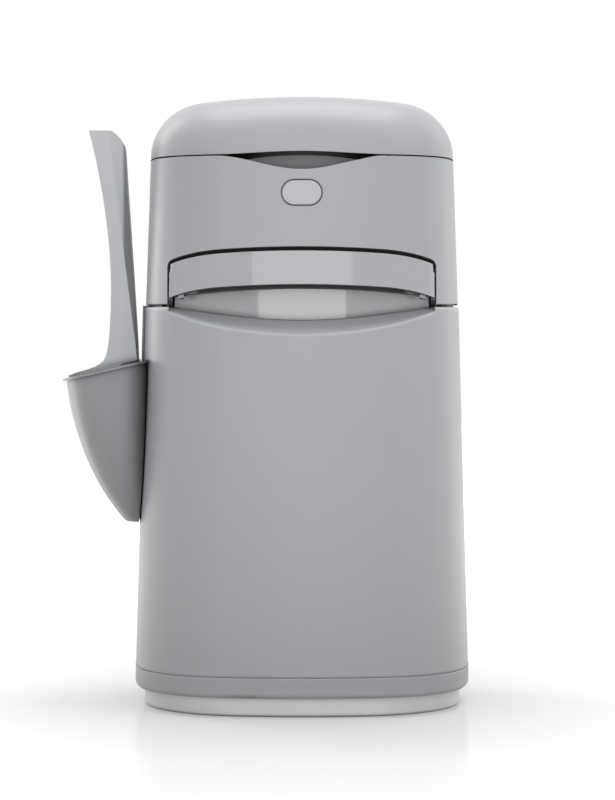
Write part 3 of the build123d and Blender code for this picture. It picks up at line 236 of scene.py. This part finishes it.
def threshold(group, value, given, result):
    """Fades the group's mask in between its Low and High."""
    fade = add(group, "MapRange", "soft threshold")
    join(group, value, fade.inputs["Value"])
    join(group, given.outputs["Low"], fade.inputs["From Min"])
    join(group, given.outputs["High"], fade.inputs["From Max"])
    join(group, fade.outputs[0], result.inputs["Mask"])


def make_faces_along():
    group, given, result = start_group(
        "faces_along", [("Normal", "Vector", None)] + MASK_INPUTS, [("Mask", "Float")],
    )
    lean = vector_node(group, "DOT_PRODUCT", "how far it looks that way", given.outputs["Normal"])
    join(group, given.outputs["Direction"], lean.inputs[1])
    threshold(group, lean.outputs["Value"], given, result)
    return group


def make_place_along():
    group, given, result = start_group(
        "place_along",
        [("Place", "Vector", None)] + MASK_INPUTS + [("Bow", "Float", 0.0)],
        [("Mask", "Float")],
    )
    along = vector_node(group, "DOT_PRODUCT", "how far along", given.outputs["Place"])
    join(group, given.outputs["Direction"], along.inputs[1])
    across = add(group, "SeparateXYZ")
    join(group, given.outputs["Place"], across.inputs[0])
    squared = math_node(group, "MULTIPLY", across.outputs["X"], across.outputs["X"])
    bend = math_node(group, "MULTIPLY", squared, given.outputs["Bow"])
    threshold(group, math_node(group, "ADD", along.outputs["Value"], bend), given, result)
    return group


faces_along = make_faces_along()
place_along = make_place_along()
print("groups", faces_along.name, "and", place_along.name)

# %% [markdown]
# ## Effect 6: a patch of painted light or shade
# Inside a mask the colour is scaled by a factor, above 1 for a painted highlight and below 1
# for painted shade. Where Matt is 1 the patch loses its gloss too, so that a face deep in a
# gap mirrors no lamp.

# %% Painted light patch group
def make_painted_light_patch():
    group, given, result = start_group(
        "painted_light_patch",
        [("Colour", "Color", None), ("Roughness", "Float", 0.5), ("Mask", "Float", 0.0),
         ("Factor", "Float", 1.0), ("Matt", "Float", 0.0)],
        [("Colour", "Color"), ("Roughness", "Float")],
    )
    strength = add(group, "MapRange", "only inside the mask", To_Min=1.0)
    join(group, given.outputs["Mask"], strength.inputs["Value"])
    join(group, given.outputs["Factor"], strength.inputs["To Max"])
    scaled = vector_node(group, "SCALE", "scaled colour", given.outputs["Colour"])
    join(group, strength.outputs[0], scaled.inputs["Scale"])
    join(group, scaled.outputs[0], result.inputs["Colour"])
    matt = math_node(group, "MULTIPLY", given.outputs["Mask"], given.outputs["Matt"])
    join(group, math_node(group, "MAXIMUM", given.outputs["Roughness"], matt), result.inputs["Roughness"])
    return group


painted_light_patch = make_painted_light_patch()
print("group", painted_light_patch.name)

# %% [markdown]
# ## One recipe for moulded plastic
# Nearly everything on the pail is injection moulded. The same recipe serves all of it: a
# colour that drifts by a few percent at most and takes painted shade in gaps, a roughness
# that drifts with it, the grain as a very shallow bump, and the rounded edge underneath.
# What differs is only a few numbers.

# %% Plastic recipe
TONE_DRIFT = 0.025
GLOSS_DRIFT = 0.07
SMUDGE_ROUGHNESS = 0.12
GRAIN_STRENGTH = 0.35
GRAIN_HEIGHT = 0.00006


def plastic(name, colour, roughness, grain=900.0, depth=0.4, edge=0.0005, wear=0.4, sheen=0.5,
            gap=(0.005, 1.0)):
    """A moulded plastic: linear colour, middle roughness, edge radius in metres, reach and power of the
    painted shade in gaps.
    """
    material = bpy.data.materials.new(name)
    material.use_nodes = True
    tree = material.node_tree
    shader = tree.nodes["Principled BSDF"]
    place = add(tree, "TexCoord").outputs["Object"]
    skin = use_group(tree, moulded_skin, Grain_Size=grain, Grain_Depth=depth)
    join(tree, place, skin.inputs["Place"])
    touch = use_group(tree, handling, Amount=wear)
    join(tree, place, touch.inputs["Place"])
    tone = add(tree, "Mix", "tone")
    tone.data_type = "RGBA"
    tone.inputs["A"].default_value = (*[c * (1 - TONE_DRIFT) for c in colour], 1.0)
    tone.inputs["B"].default_value = (*[c * (1 + TONE_DRIFT) for c in colour], 1.0)
    join(tree, skin.outputs["Mottle"], tone.inputs["Factor"])
    # painted shade: the colour darkens where the gap group finds the view around blocked
    dark = use_group(tree, painted_gap_shade, Reach=gap[0], Power=gap[1])
    shaded = vector_node(tree, "SCALE", "darker in gaps", tone.outputs["Result"])
    join(tree, dark.outputs["Shade"], shaded.inputs["Scale"])
    join(tree, shaded.outputs[0], shader.inputs["Base Color"])
    least, most = roughness * (1 - GLOSS_DRIFT), roughness * (1 + GLOSS_DRIFT)
    spread = add(tree, "MapRange", "gloss", To_Min=least, To_Max=most)
    join(tree, skin.outputs["Gloss Drift"], spread.inputs["Value"])
    smudged = math_node(tree, "MULTIPLY", touch.outputs["Smudge"], SMUDGE_ROUGHNESS)
    join(tree, math_node(tree, "ADD", spread.outputs[0], smudged), shader.inputs["Roughness"])
    bump = add(tree, "Bump", "grain", Strength=GRAIN_STRENGTH, Distance=GRAIN_HEIGHT)
    join(tree, skin.outputs["Height"], bump.inputs["Height"])
    rounded = use_group(tree, round_edge, Radius=edge)
    join(tree, rounded.outputs["Normal"], bump.inputs["Normal"])
    join(tree, bump.outputs[0], shader.inputs["Normal"])
    shader.inputs["Specular IOR Level"].default_value = sheen
    return material


def dress(material, slot_name, *names):
    """Puts a material on CAD nodes; slot_name, the record's slot for their finish, is not used."""
    for name in names:
        mesh = nodes[name].data
        mesh.materials.clear()
        mesh.materials.append(material)
        print(name, "wears", material.name)


print("plastic recipe ready")

# %% [markdown]
# ## Patches on a plastic
# These helpers place the mask and patch groups in one material. The mask by direction reads
# the plain normal, or the one rounded by the edge effect, so that it can pick out an edge's
# curve. A patch paints light or shade into the colour, and goes in just before the shader's
# colour and roughness, so several add up.

# %% Patch helpers
RIGHT = (1.0, 0.0, 0.0)
BACK = (0.0, 1.0, 0.0)
UP = (0.0, 0.0, 1.0)
DOWN = (0.0, 0.0, -1.0)


def facing(material, direction, span, rounded=0.0):
    """The mask of the faces that look along a direction, on edges rounded by that radius."""
    tree = material.node_tree
    if rounded:
        normal = use_group(tree, round_edge, Radius=rounded).outputs["Normal"]
    else:
        normal = add(tree, "NewGeometry").outputs["Normal"]
    mask = use_group(tree, faces_along, Direction=direction, Low=span[0], High=span[1])
    join(tree, normal, mask.inputs["Normal"])
    return mask.outputs["Mask"]


def placed(material, direction, span, bow=0.0):
    """The mask that rises over a span along a direction, in metres of the part's own space."""
    tree = material.node_tree
    mask = use_group(tree, place_along, Direction=direction, Low=span[0], High=span[1], Bow=bow)
    join(tree, add(tree, "TexCoord").outputs["Object"], mask.inputs["Place"])
    return mask.outputs["Mask"]


def patch(material, mask, factor, matt=0.0):
    """Scales the colour where the mask is 1, and makes the surface matt there if matt is 1."""
    tree = material.node_tree
    shader = tree.nodes["Principled BSDF"]
    node = use_group(tree, painted_light_patch, Factor=factor, Matt=matt)
    join(tree, mask, node.inputs["Mask"])
    for socket, name in ((shader.inputs["Base Color"], "Colour"), (shader.inputs["Roughness"], "Roughness")):
        join(tree, socket.links[0].from_socket, node.inputs[name])
        join(tree, node.outputs[name], socket)


print("patch helpers ready")

# %% [markdown]
# ## The head and lid: satin grey
# Base, head and lid are one satin grey. Real cases of this kind are an evenly pigmented
# plastic with a fine spark texture, so the colour is plain and the interest is in how
# softly it returns the light. The faces that look down into a seam get painted shade and
# are made matt: a pale floor would otherwise light them, and draw a bright line where there is a gap.

# %% Head and lid material
CASE_GREY = (0.434, 0.444, 0.460)
CASE_ROUGHNESS = 0.38
UNDERSIDE = (0.5, 0.8)
CASE_PAINTED_SHADE = 0.15

case_satin = plastic("case_satin", CASE_GREY, CASE_ROUGHNESS, edge=0.0006, gap=(0.004, 2.5))
# painted shade, and no gloss, on the faces that look down into a seam
patch(case_satin, facing(case_satin, DOWN, UNDERSIDE), CASE_PAINTED_SHADE, matt=1.0)
dress(case_satin, "shell_plastic", "head_shell", "lid_shell")

# %% [markdown]
# ## The base: the same grey with a rolled lip
# The finger ramp under the handle ends in a rolled front lip, which catches the overhead
# lamp as a pale line, and a painted highlight, picked out by the rounded normal on that
# curve, makes the line paler. A second mask puts painted shade on the ramp and the rim,
# which face almost straight up, to keep them a little darker.

# %% Base material
LIP_RADIUS = 0.003
LIP_SPAN, LIP_PAINTED_HIGHLIGHT = (0.05, 0.25), 1.35
RAMP_SPAN, RAMP_PAINTED_SHADE = (0.6, 0.85), 0.92

base_satin = plastic("base_satin", CASE_GREY, CASE_ROUGHNESS, edge=LIP_RADIUS, gap=(0.003, 0.6))
# painted highlight on the rolled lip
patch(base_satin, facing(base_satin, UP, LIP_SPAN, rounded=LIP_RADIUS), LIP_PAINTED_HIGHLIGHT)
# painted shade on the ramp and the rim
patch(base_satin, facing(base_satin, UP, RAMP_SPAN), RAMP_PAINTED_SHADE)
dress(base_satin, "shell_plastic", "base_shell")

# %% [markdown]
# ## Foot, trim and grip pocket
# The inset foot is the palest plastic on the pail: it stands in the pail's own shade and still
# reads pale, so its colour is partly a paler plastic and partly painted light that makes up
# for that shade. The trim ring above it is a shade darker and rougher than the case. The grip
# pocket under the lid's front edge lies in shadow, and its much darker grey is painted shade.

# %% Foot, trim and pocket materials
# the foot's colour: a paler plastic plus painted light against the pail's shade
FOOT_PALE_WITH_PAINTED_LIGHT = (0.90, 0.915, 0.93)
TRIM_GREY = (0.41, 0.42, 0.435)
# painted shade for the grip pocket, which lies in shadow
POCKET_PAINTED_SHADE = (0.195, 0.202, 0.212)

foot_satin = plastic("foot_satin", FOOT_PALE_WITH_PAINTED_LIGHT, 0.42, edge=0.0006, gap=(0.002, 0.5))
dress(foot_satin, "shell_plastic", "foot_plinth")
trim_satin = plastic("trim_satin", TRIM_GREY, 0.46, edge=0.002, gap=(0.002, 0.5))
dress(trim_satin, "trim_plastic", "trim_ring")
pocket_painted_shade = plastic("pocket_painted_shade", POCKET_PAINTED_SHADE, 0.5, edge=0.0004)
dress(pocket_painted_shade, "shell_plastic", "grip_pocket")

# %% [markdown]
# ## The gloss handle
# The pull handle is polished. Against the satin case it shows the studio's front softbox as
# a paler field with a clear edge. Its underside and the back of its bowed band face the
# recess, where it is dark, so both take painted shade and are made matt. The back's painted
# shade stops short of the band's ends, where the arms begin.

# %% Handle material
HANDLE_GREY = (0.465, 0.476, 0.495)
RECESS_PAINTED_SHADE = 0.12
BAND_BACK, BAND_BOW = (-0.0955, -0.0945), -1.72
BAND_END = (0.074, 0.070)

handle_gloss = plastic("handle_gloss", HANDLE_GREY, 0.045, grain=260.0, depth=0.12, wear=0.25,
                       gap=(0.006, 2.0))
# painted shade on the back of the band and on its underside
band_back = placed(handle_gloss, BACK, BAND_BACK, bow=BAND_BOW)
for side in (-1.0, 1.0):
    within = placed(handle_gloss, (side, 0.0, 0.0), BAND_END)
    band_back = math_node(handle_gloss.node_tree, "MULTIPLY", band_back, within)
band_under = facing(handle_gloss, DOWN, UNDERSIDE)
band_painted_shade = math_node(handle_gloss.node_tree, "MAXIMUM", band_under, band_back)
patch(handle_gloss, band_painted_shade, RECESS_PAINTED_SHADE, matt=1.0)
dress(handle_gloss, "gloss_grey", "handle_band")

# %% [markdown]
# ## The recess wall and the release button
# The wall behind the handle is as glossy as the handle and mirrors the same softbox. Above
# the band it lies in a slot that no light enters, so a bowed mask paints shade on it there.
# The button is a softer gloss.

# %% Recess and button materials
WALL_GREY = (0.47, 0.48, 0.496)
WALL_TOP, WALL_BOW = (0.3150, 0.3175), 1.23
BUTTON_GREY = (0.49, 0.502, 0.52)

recess_gloss = plastic("recess_gloss", WALL_GREY, 0.05, grain=260.0, depth=0.12, wear=0.2, sheen=0.9,
                       gap=(0.005, 2.5))
# painted shade on the wall in the slot above the band
patch(recess_gloss, placed(recess_gloss, UP, WALL_TOP, bow=WALL_BOW), RECESS_PAINTED_SHADE, matt=1.0)
dress(recess_gloss, "gloss_grey", "handle_recess")
button_gloss = plastic("button_gloss", BUTTON_GREY, 0.16, grain=260.0, depth=0.1, edge=0.0006, wear=0.2)
dress(button_gloss, "gloss_grey", "release_button")

# %% [markdown]
# ## Holder and scoop
# The holder is a darker moulding that hangs by a strap from the rim, and its deep cup takes
# painted shade towards the wall behind it, so its painted gap shade reaches far. The scoop
# is paler than the case, with more wear because it is handled every day. The flank of the
# scoop that looks at the pail lies in the pail's shade, which is painted on it.

# %% Holder and scoop materials
HOLDER_TONE = (0.31, 0.318, 0.33)
SCOOP_TONE = (0.57, 0.583, 0.60)
FLANK_SPAN, FLANK_PLACE, FLANK_PAINTED_SHADE = (0.05, 0.2), (-0.1275, -0.1255), 0.36

# the long gap reach paints shade into the cup towards the wall behind it
holder_grey = plastic("holder_grey", HOLDER_TONE, 0.36, edge=0.0012, gap=(0.022, 1.15))
dress(holder_grey, "holder_plastic", "scoop_holder")
scoop_grey = plastic("scoop_grey", SCOOP_TONE, CASE_ROUGHNESS, edge=0.0008, wear=0.8)
# painted shade on the flank that looks at the pail
flank = math_node(scoop_grey.node_tree, "MULTIPLY", facing(scoop_grey, RIGHT, FLANK_SPAN),
                  placed(scoop_grey, RIGHT, FLANK_PLACE))
patch(scoop_grey, flank, FLANK_PAINTED_SHADE)
dress(scoop_grey, "scoop_plastic", "litter_scoop")

# %% [markdown]
# ## Inside parts
# Out of sight the mouldings are plainer: unpainted pale plastic for the well and the clamp
# frame, near black for the jaws, latch and cutter, and for the collar and liner, whose near
# black is also painted shade for the seams where they show, and a milky white for the
# refill. Pads, bumpers and the lid's seal are a rubber with a finer, deeper grain and
# hardly any gloss.

# %% Inner plastics
inner_pale = plastic("inner_pale", (0.52, 0.523, 0.53), 0.5, edge=0.0004)
dress(inner_pale, "inner_plastic", "cassette_well", "clamp_frame")
# near black: the colour of the jaws, latch and cutter, and painted shade in the seams for collar and liner
dark_works_and_seam_shade = plastic("dark_works_and_seam_shade", (0.035, 0.035, 0.037), 0.45, edge=0.0003)
dress(dark_works_and_seam_shade, "dark_plastic", "rim_collar", "lid_liner", "latch_keeper", "rear_jaw", "front_jaw",
      "film_cutter", "latch_lever")
refill_white = plastic("refill_white", (0.68, 0.69, 0.70), 0.4, edge=0.0004)
dress(refill_white, "cassette_plastic", "cassette_tray", "cassette_cap")
rubber_black = plastic("rubber_black", (0.03, 0.03, 0.031), 0.8, grain=1400.0, depth=0.9, edge=0.0003,
                       sheen=0.3)
dress(rubber_black, "soft_rubber", "grip_pads", "rim_bumpers", "holder_bumper", "rear_jaw_pad",
      "front_jaw_pad", "lid_seal")

# %% [markdown]
# ## Zinc-plated steel
# Pins, rods, screws and springs are plated steel. Fine drawn lines run from side to side,
# as along the hinge pins, and the plating is a little cloudy, so roughness follows a noise
# stretched that way.

# %% Steel material
STEEL_DARK = (0.48, 0.48, 0.49, 1.0)
STEEL_PALE = (0.62, 0.62, 0.63, 1.0)
DRAWN_LINES = (60.0, 1600.0, 1600.0)
STEEL_GLOSS = (0.22, 0.42)


def make_steel():
    material = bpy.data.materials.new("plated_steel")
    material.use_nodes = True
    tree = material.node_tree
    shader = tree.nodes["Principled BSDF"]
    place = add(tree, "TexCoord").outputs["Object"]
    stretch = add(tree, "Mapping", "drawn along X", Scale=DRAWN_LINES)
    join(tree, place, stretch.inputs["Vector"])
    lines = add(tree, "TexNoise", "drawn lines", Scale=1.0, Detail=3.0)
    join(tree, stretch.outputs[0], lines.inputs["Vector"])
    gloss = add(tree, "MapRange", "cloudy plating", To_Min=STEEL_GLOSS[0], To_Max=STEEL_GLOSS[1])
    join(tree, lines.outputs[0], gloss.inputs["Value"])
    join(tree, gloss.outputs[0], shader.inputs["Roughness"])
    tone = add(tree, "Mix", "tone")
    tone.data_type = "RGBA"
    tone.inputs["A"].default_value = STEEL_DARK
    tone.inputs["B"].default_value = STEEL_PALE
    join(tree, lines.outputs[0], tone.inputs["Factor"])
    join(tree, tone.outputs["Result"], shader.inputs["Base Color"])
    bump = add(tree, "Bump", "drawn lines", Strength=0.2, Distance=0.00004)
    join(tree, lines.outputs[0], bump.inputs["Height"])
    rounded = use_group(tree, round_edge, Radius=0.0002)
    join(tree, rounded.outputs["Normal"], bump.inputs["Normal"])
    join(tree, bump.outputs[0], shader.inputs["Normal"])
    shader.inputs["Metallic"].default_value = 1.0
    return material


plated_steel = make_steel()
dress(plated_steel, "steel", "foot_screws", "keeper_screws", "head_hinge_pin", "deck_screws", "frame_screws",
      "jaw_screws", "spring_rods", "clamp_springs", "cutter_blade", "latch_pivot_pin", "latch_spring",
      "lid_hinge_pin", "handle_screws", "lid_screws")

# %% [markdown]
# ## The refill film
# The cassette holds many metres of thin film tube, gathered into tight folds like a
# concertina. A ring of folds is a surface of revolution whose radius swings in and out as it
# climbs, and whose folds wander a little round the ring, because film never packs evenly.

# %% Refill film
WELL_Y = 0.004
FILM_BORE = 0.0633
FILM_CLEAR = 0.0004
FILM_THICK = 0.0002
FOLDS = 14
STEPS_PER_FOLD = 6
STEPS_AROUND = 180
# how much a fold wanders, in how many waves around, and where they start
WANDER = ((0.35, 3, 1.3), (0.25, 7, 0.4))


def fold_ring(mesh, climb, low, high):
    """One ring of points, at a share of the pack's height."""
    outer = (high.x - low.x) / 2
    ring = []
    for j in range(STEPS_AROUND):
        turn = 2 * pi * j / STEPS_AROUND
        wander = sum(size * sin(waves * turn + start) for size, waves, start in WANDER)
        swing = 0.5 + 0.5 * cos(2 * pi * FOLDS * climb + wander)
        radius = FILM_BORE + FILM_CLEAR + (outer - FILM_BORE - 2 * FILM_CLEAR) * swing
        z = low.z + (high.z - low.z) * climb
        ring.append(mesh.verts.new((radius * cos(turn), WELL_Y + radius * sin(turn), z)))
    return ring


def film_pack():
    """The ring of folds, between the tray's inner wall and the box of the plain solid."""
    low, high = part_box("film_pack")
    mesh = bmesh.new()
    levels = FOLDS * STEPS_PER_FOLD
    rings = [fold_ring(mesh, i / levels, low, high) for i in range(levels + 1)]
    for lower, upper in zip(rings, rings[1:]):
        for j in range(STEPS_AROUND):
            k = (j + 1) % STEPS_AROUND
            mesh.faces.new((lower[j], lower[k], upper[k], upper[j]))
    data = bpy.data.meshes.new("film_folds")
    mesh.to_mesh(data)
    mesh.free()
    for polygon in data.polygons:
        polygon.use_smooth = True
    piece = bpy.data.objects.new("film_folds", data)
    scene.collection.objects.link(piece)
    thick = piece.modifiers.new("film thickness", "SOLIDIFY")
    thick.thickness = FILM_THICK
    return piece


film_milky = plastic("film_milky", (0.62, 0.65, 0.70), 0.28, grain=400.0, depth=0.6, edge=0.0001)
film_folds = film_pack()
film_folds.data.materials.append(film_milky)
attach(film_folds, "head")
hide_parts("film_pack")
print("film folds:", len(film_folds.data.polygons), "faces")

# %% [markdown]
# ## The clamp springs
# A spring that is squeezed has to be a piece that can flatten. Each one is a tube along a
# helix with closed end turns, laid on the line of its guide rod. The line is given in the
# handle's own sliding axes: along the slide, and up square to it.

# %% Line of the springs
SLIDE_ANGLE = radians(19.5)
SLIDE = Vector((0, -cos(SLIDE_ANGLE), sin(SLIDE_ANGLE)))
SLIDE_UP = Vector((0, sin(SLIDE_ANGLE), cos(SLIDE_ANGLE)))
OPENING_TOP = Vector((0, -98.3 * MM, 321.2 * MM))
ROD_LINE = -13.0 * MM
ROD_X = 70.0 * MM
SPRING_FRONT = -46.3 * MM
SPRING_REAR = -96.6 * MM
SPRING_TURNS = 9
SPRING_RADIUS = 3.6 * MM
SPRING_WIRE = 0.5 * MM
SPRING_STEPS = 24


def on_slide(x, up, along):
    """A point given in the slide's own axes."""
    return OPENING_TOP + Vector((x, 0, 0)) + SLIDE_UP * up + SLIDE * along


def spring_line(x):
    """Points along one spring, from the jaw to the front bar, with end turns that lie flat."""
    points = []
    steps = SPRING_TURNS * SPRING_STEPS
    for i in range(steps + 1):
        share = i / steps
        eased = share - 0.5 / (SPRING_TURNS * pi) * sin(2 * pi * share)
        along = SPRING_REAR + SPRING_WIRE + (SPRING_FRONT - SPRING_REAR - 2 * SPRING_WIRE) * eased
        turn = 2 * pi * SPRING_TURNS * share
        sideways = Vector((SPRING_RADIUS * cos(turn), 0, 0))
        points.append(on_slide(x, ROD_LINE, along) + sideways + SLIDE_UP * SPRING_RADIUS * sin(turn))
    return points


print("points along one spring:", len(spring_line(ROD_X)))

# %% [markdown]
# ## Coils from the line
# A curve with a round bevel makes an even tube along any line.

# %% Spring coils
WIRE_ROUNDNESS = 2


def tube(name, lines, radius):
    """A mesh tube along each of some lists of points."""
    curve = bpy.data.curves.new(name, "CURVE")
    curve.dimensions = "3D"
    curve.bevel_depth = radius
    curve.bevel_resolution = WIRE_ROUNDNESS
    curve.use_fill_caps = True
    for line in lines:
        spline = curve.splines.new("POLY")
        spline.points.add(len(line) - 1)
        for point, place in zip(spline.points, line):
            point.co = (*place, 1.0)
    holder = bpy.data.objects.new(name + "_line", curve)
    scene.collection.objects.link(holder)
    bpy.context.view_layer.update()
    data = bpy.data.meshes.new_from_object(holder.evaluated_get(bpy.context.evaluated_depsgraph_get()))
    data.name = name
    bpy.data.objects.remove(holder)
    piece = bpy.data.objects.new(name, data)
    scene.collection.objects.link(piece)
    for polygon in data.polygons:
        polygon.use_smooth = True
    return piece


springs = tube("clamp_coils", [spring_line(-ROD_X), spring_line(ROD_X)], SPRING_WIRE)
springs.data.materials.clear()
springs.data.materials.append(plated_steel)
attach(springs, "head")
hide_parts("clamp_springs")
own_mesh(springs)
print("spring length at rest:", round((SPRING_FRONT - SPRING_REAR) / MM, 1), "mm")

# %% [markdown]
# ## What counts as background
# A catalogue picture stands on white. The Light Path node tells rays that only look at the
# surroundings from rays that carry light on to the pail, so the surroundings can look white
# without lighting the pail any more.

# %% Background rays
WHITE = (1.0, 1.0, 1.0, 1.0)


def seen_directly(tree):
    """1 for rays that show the background: from the camera, in a mirror or through glass."""
    path = add(tree, "LightPath")
    mirrored = math_node(tree, "MAXIMUM", path.outputs["Is Glossy Ray"], path.outputs["Is Transmission Ray"])
    return math_node(tree, "MAXIMUM", path.outputs["Is Camera Ray"], mirrored)


print("background rays ready")

# %% [markdown]
# ## The floor's matt side
# The floor is one broad sheet. To the eye it is pale everywhere. To the light that bounces
# on to the pail it is mid grey at the foot, almost black just outside it and pale far off,
# because the lower sides of the pail stay dark while the foot itself is lit from below.

# %% Matt floor
FLOOR_SEEN = 0.62
BOUNCE_STOPS = ((0.13, 0.30), (0.17, 0.05), (0.45, 0.70))


def distance(tree, place, label):
    """The length of a place vector, in metres."""
    return vector_node(tree, "LENGTH", label, place).outputs["Value"]


def matt_side(tree, seen, place):
    """The floor's diffuse shader."""
    bounce = add(tree, "ValToRGB", "bounce by distance")
    stops = bounce.color_ramp.elements
    while len(stops) < len(BOUNCE_STOPS):
        stops.new(0.5)
    for stop, (position, level) in zip(stops, BOUNCE_STOPS):
        stop.position, stop.color = position, (level, level, level, 1.0)
    join(tree, distance(tree, place, "plain distance"), bounce.inputs[0])
    grey = add(tree, "MapRange", "pale to the eye", To_Max=FLOOR_SEEN)
    join(tree, seen, grey.inputs["Value"])
    join(tree, bounce.outputs[0], grey.inputs["To Min"])
    matt = add(tree, "BsdfDiffuse")
    join(tree, grey.outputs[0], matt.inputs["Color"])
    return matt.outputs[0]


print("bounce stops:", BOUNCE_STOPS)

# %% [markdown]
# ## The floor's run-out and shine
# An emission that only background rays see lifts the sheet to white with distance, so the
# soft shadow stays near the pail and no horizon shows. Weaker near the pail, the lift adds a
# painted shadow round it to the cast one. The distance counts more sideways, which pulls the
# shadow in at the sides. A thin gloss gives the faint mirror image that a glossy sweep shows
# under a product.

# %% Floor sheet
FLOOR_LIFT = 0.18
FLOOR_WHITE = 1.25
RUN_OUT = (0.15, 1.9)
SIDE_REACH = 1.7
FLOOR_SHINE = 0.15
SHINE_ROUGHNESS = 0.14
FLOOR_HALF = 6.0


def run_out(tree, seen, place):
    """The emission that turns the floor white away from the pail."""
    widened = vector_node(tree, "MULTIPLY", "wider to the sides", place)
    widened.inputs[1].default_value = (SIDE_REACH, 1.0, 1.0)
    # the weaker lift near the pail paints a shadow round it
    lift = add(tree, "MapRange", "runs out to white", From_Min=RUN_OUT[0], From_Max=RUN_OUT[1],
               To_Min=FLOOR_LIFT, To_Max=FLOOR_WHITE)
    join(tree, distance(tree, widened.outputs[0], "widened distance"), lift.inputs["Value"])
    glow = add(tree, "Emission", Color=WHITE)
    join(tree, math_node(tree, "MULTIPLY", seen, lift.outputs[0]), glow.inputs["Strength"])
    return glow.outputs[0]


def floor_material():
    material = bpy.data.materials.new("floor_sheet")
    material.use_nodes = True
    tree = material.node_tree
    tree.nodes.remove(tree.nodes["Principled BSDF"])
    seen = seen_directly(tree)
    place = add(tree, "TexCoord").outputs["Object"]
    shine = add(tree, "BsdfGlossy", Color=WHITE, Roughness=SHINE_ROUGHNESS)
    lit = add(tree, "MixShader", Fac=FLOOR_SHINE)
    join(tree, matt_side(tree, seen, place), lit.inputs[1])
    join(tree, shine.outputs[0], lit.inputs[2])
    total = add(tree, "AddShader")
    join(tree, lit.outputs[0], total.inputs[0])
    join(tree, run_out(tree, seen, place), total.inputs[1])
    join(tree, total.outputs[0], tree.nodes["Material Output"].inputs["Surface"])
    return material


def make_floor():
    mesh = bmesh.new()
    bmesh.ops.create_grid(mesh, x_segments=1, y_segments=1, size=FLOOR_HALF)
    data = bpy.data.meshes.new("floor")
    mesh.to_mesh(data)
    mesh.free()
    data.materials.append(floor_material())
    floor = bpy.data.objects.new("floor", data)
    scene.collection.objects.link(floor)
    return floor


floor = make_floor()
print("floor spans", floor.dimensions.x, "m")

# %% [markdown]
# ## The world
# The world fills the shadows at a low level, and shows as white wherever it is seen.

# %% World
FILL = 0.45


def make_world():
    world = bpy.data.worlds.new("studio")
    scene.world = world
    world.use_nodes = True
    tree = world.node_tree
    back = tree.nodes["Background"]
    level = add(tree, "MapRange", "fill or white", To_Min=FILL, To_Max=1.0)
    join(tree, seen_directly(tree), level.inputs["Value"])
    join(tree, level.outputs[0], back.inputs["Strength"])
    back.inputs["Color"].default_value = WHITE
    return world


print("world:", make_world().name)

# %% [markdown]
# ## The lamps
# Six softboxes light the pail. The front one, near the camera, gives the even front and the
# pale field on the gloss parts. The one overhead lights the lid's top and the rolled lip.
# Two tall strips stand a little behind at the left and right to lift the edges, and two
# boxes at the right, one beside and one in front, round off that side. Each is set by how
# bright its face looks, and its power follows from its size.

# %% Lamps
MIDDLE = (0, 0, 0.25)
# name: place, width and height in metres, brightness of the face
SOFTBOXES = {
    "front_box": ((0.0, -2.1, 0.80), 1.14, 1.3, 2.1),
    "top_box": ((0.0, 0.1, 1.9), 1.6, 1.2, 3.3),
    "right_strip": ((1.2, 0.95, 0.6), 0.5, 1.4, 1.0),
    "right_side": ((1.6, 0.2, 0.6), 0.5, 1.0, 0.7),
    "right_front": ((1.4, -0.9, 1.1), 0.5, 0.9, 1.8),
    "left_strip": ((-1.2, 0.95, 0.85), 0.5, 1.4, 2.9),
}


def softbox(name, place, width, height, brightness):
    """A rectangular area lamp at place, facing the middle of the pail."""
    lamp = bpy.data.lights.new(name, "AREA")
    lamp.shape = "RECTANGLE"
    lamp.size = width
    lamp.size_y = height
    lamp.energy = brightness * pi * width * height
    holder = bpy.data.objects.new(name, lamp)
    scene.collection.objects.link(holder)
    holder.location = place
    holder.rotation_euler = (Vector(MIDDLE) - Vector(place)).to_track_quat("-Z", "Y").to_euler()
    print(name, "gives", round(lamp.energy, 2), "W")


for name, settings in SOFTBOXES.items():
    softbox(name, *settings)

# %% [markdown]
# ## The camera
# The picture is taken from a little over two metres with a long lens, a little above half
# the pail's height and looking very slightly down, so the verticals stay almost parallel.
# Its focal length is given in pixels of an 800 pixel tall frame, and turned into the
# millimetres of the sensor that Blender asks for.

# %% Camera
EYE = Vector((3.9, -2107.0, 267.6)) * MM
FOCAL_PIXELS = 2953.0
FRAME_HEIGHT = 800.0
HORIZON_ABOVE_CENTRE = 75.0
SENSOR = 36.0

lens = bpy.data.cameras.new("picture_camera")
lens.sensor_fit = "VERTICAL"
lens.sensor_height = SENSOR
lens.lens = FOCAL_PIXELS / FRAME_HEIGHT * SENSOR
lens.clip_start = 0.05
lens.clip_end = 50.0
camera = bpy.data.objects.new("picture_camera", lens)
scene.collection.objects.link(camera)
camera.location = EYE
camera.rotation_euler = (pi / 2 - atan(HORIZON_ABOVE_CENTRE / FOCAL_PIXELS), 0, 0)
scene.camera = camera
scene.view_settings.view_transform = "Standard"
print("lens", round(lens.lens, 1), "mm")

# %% End
print("scene ready")
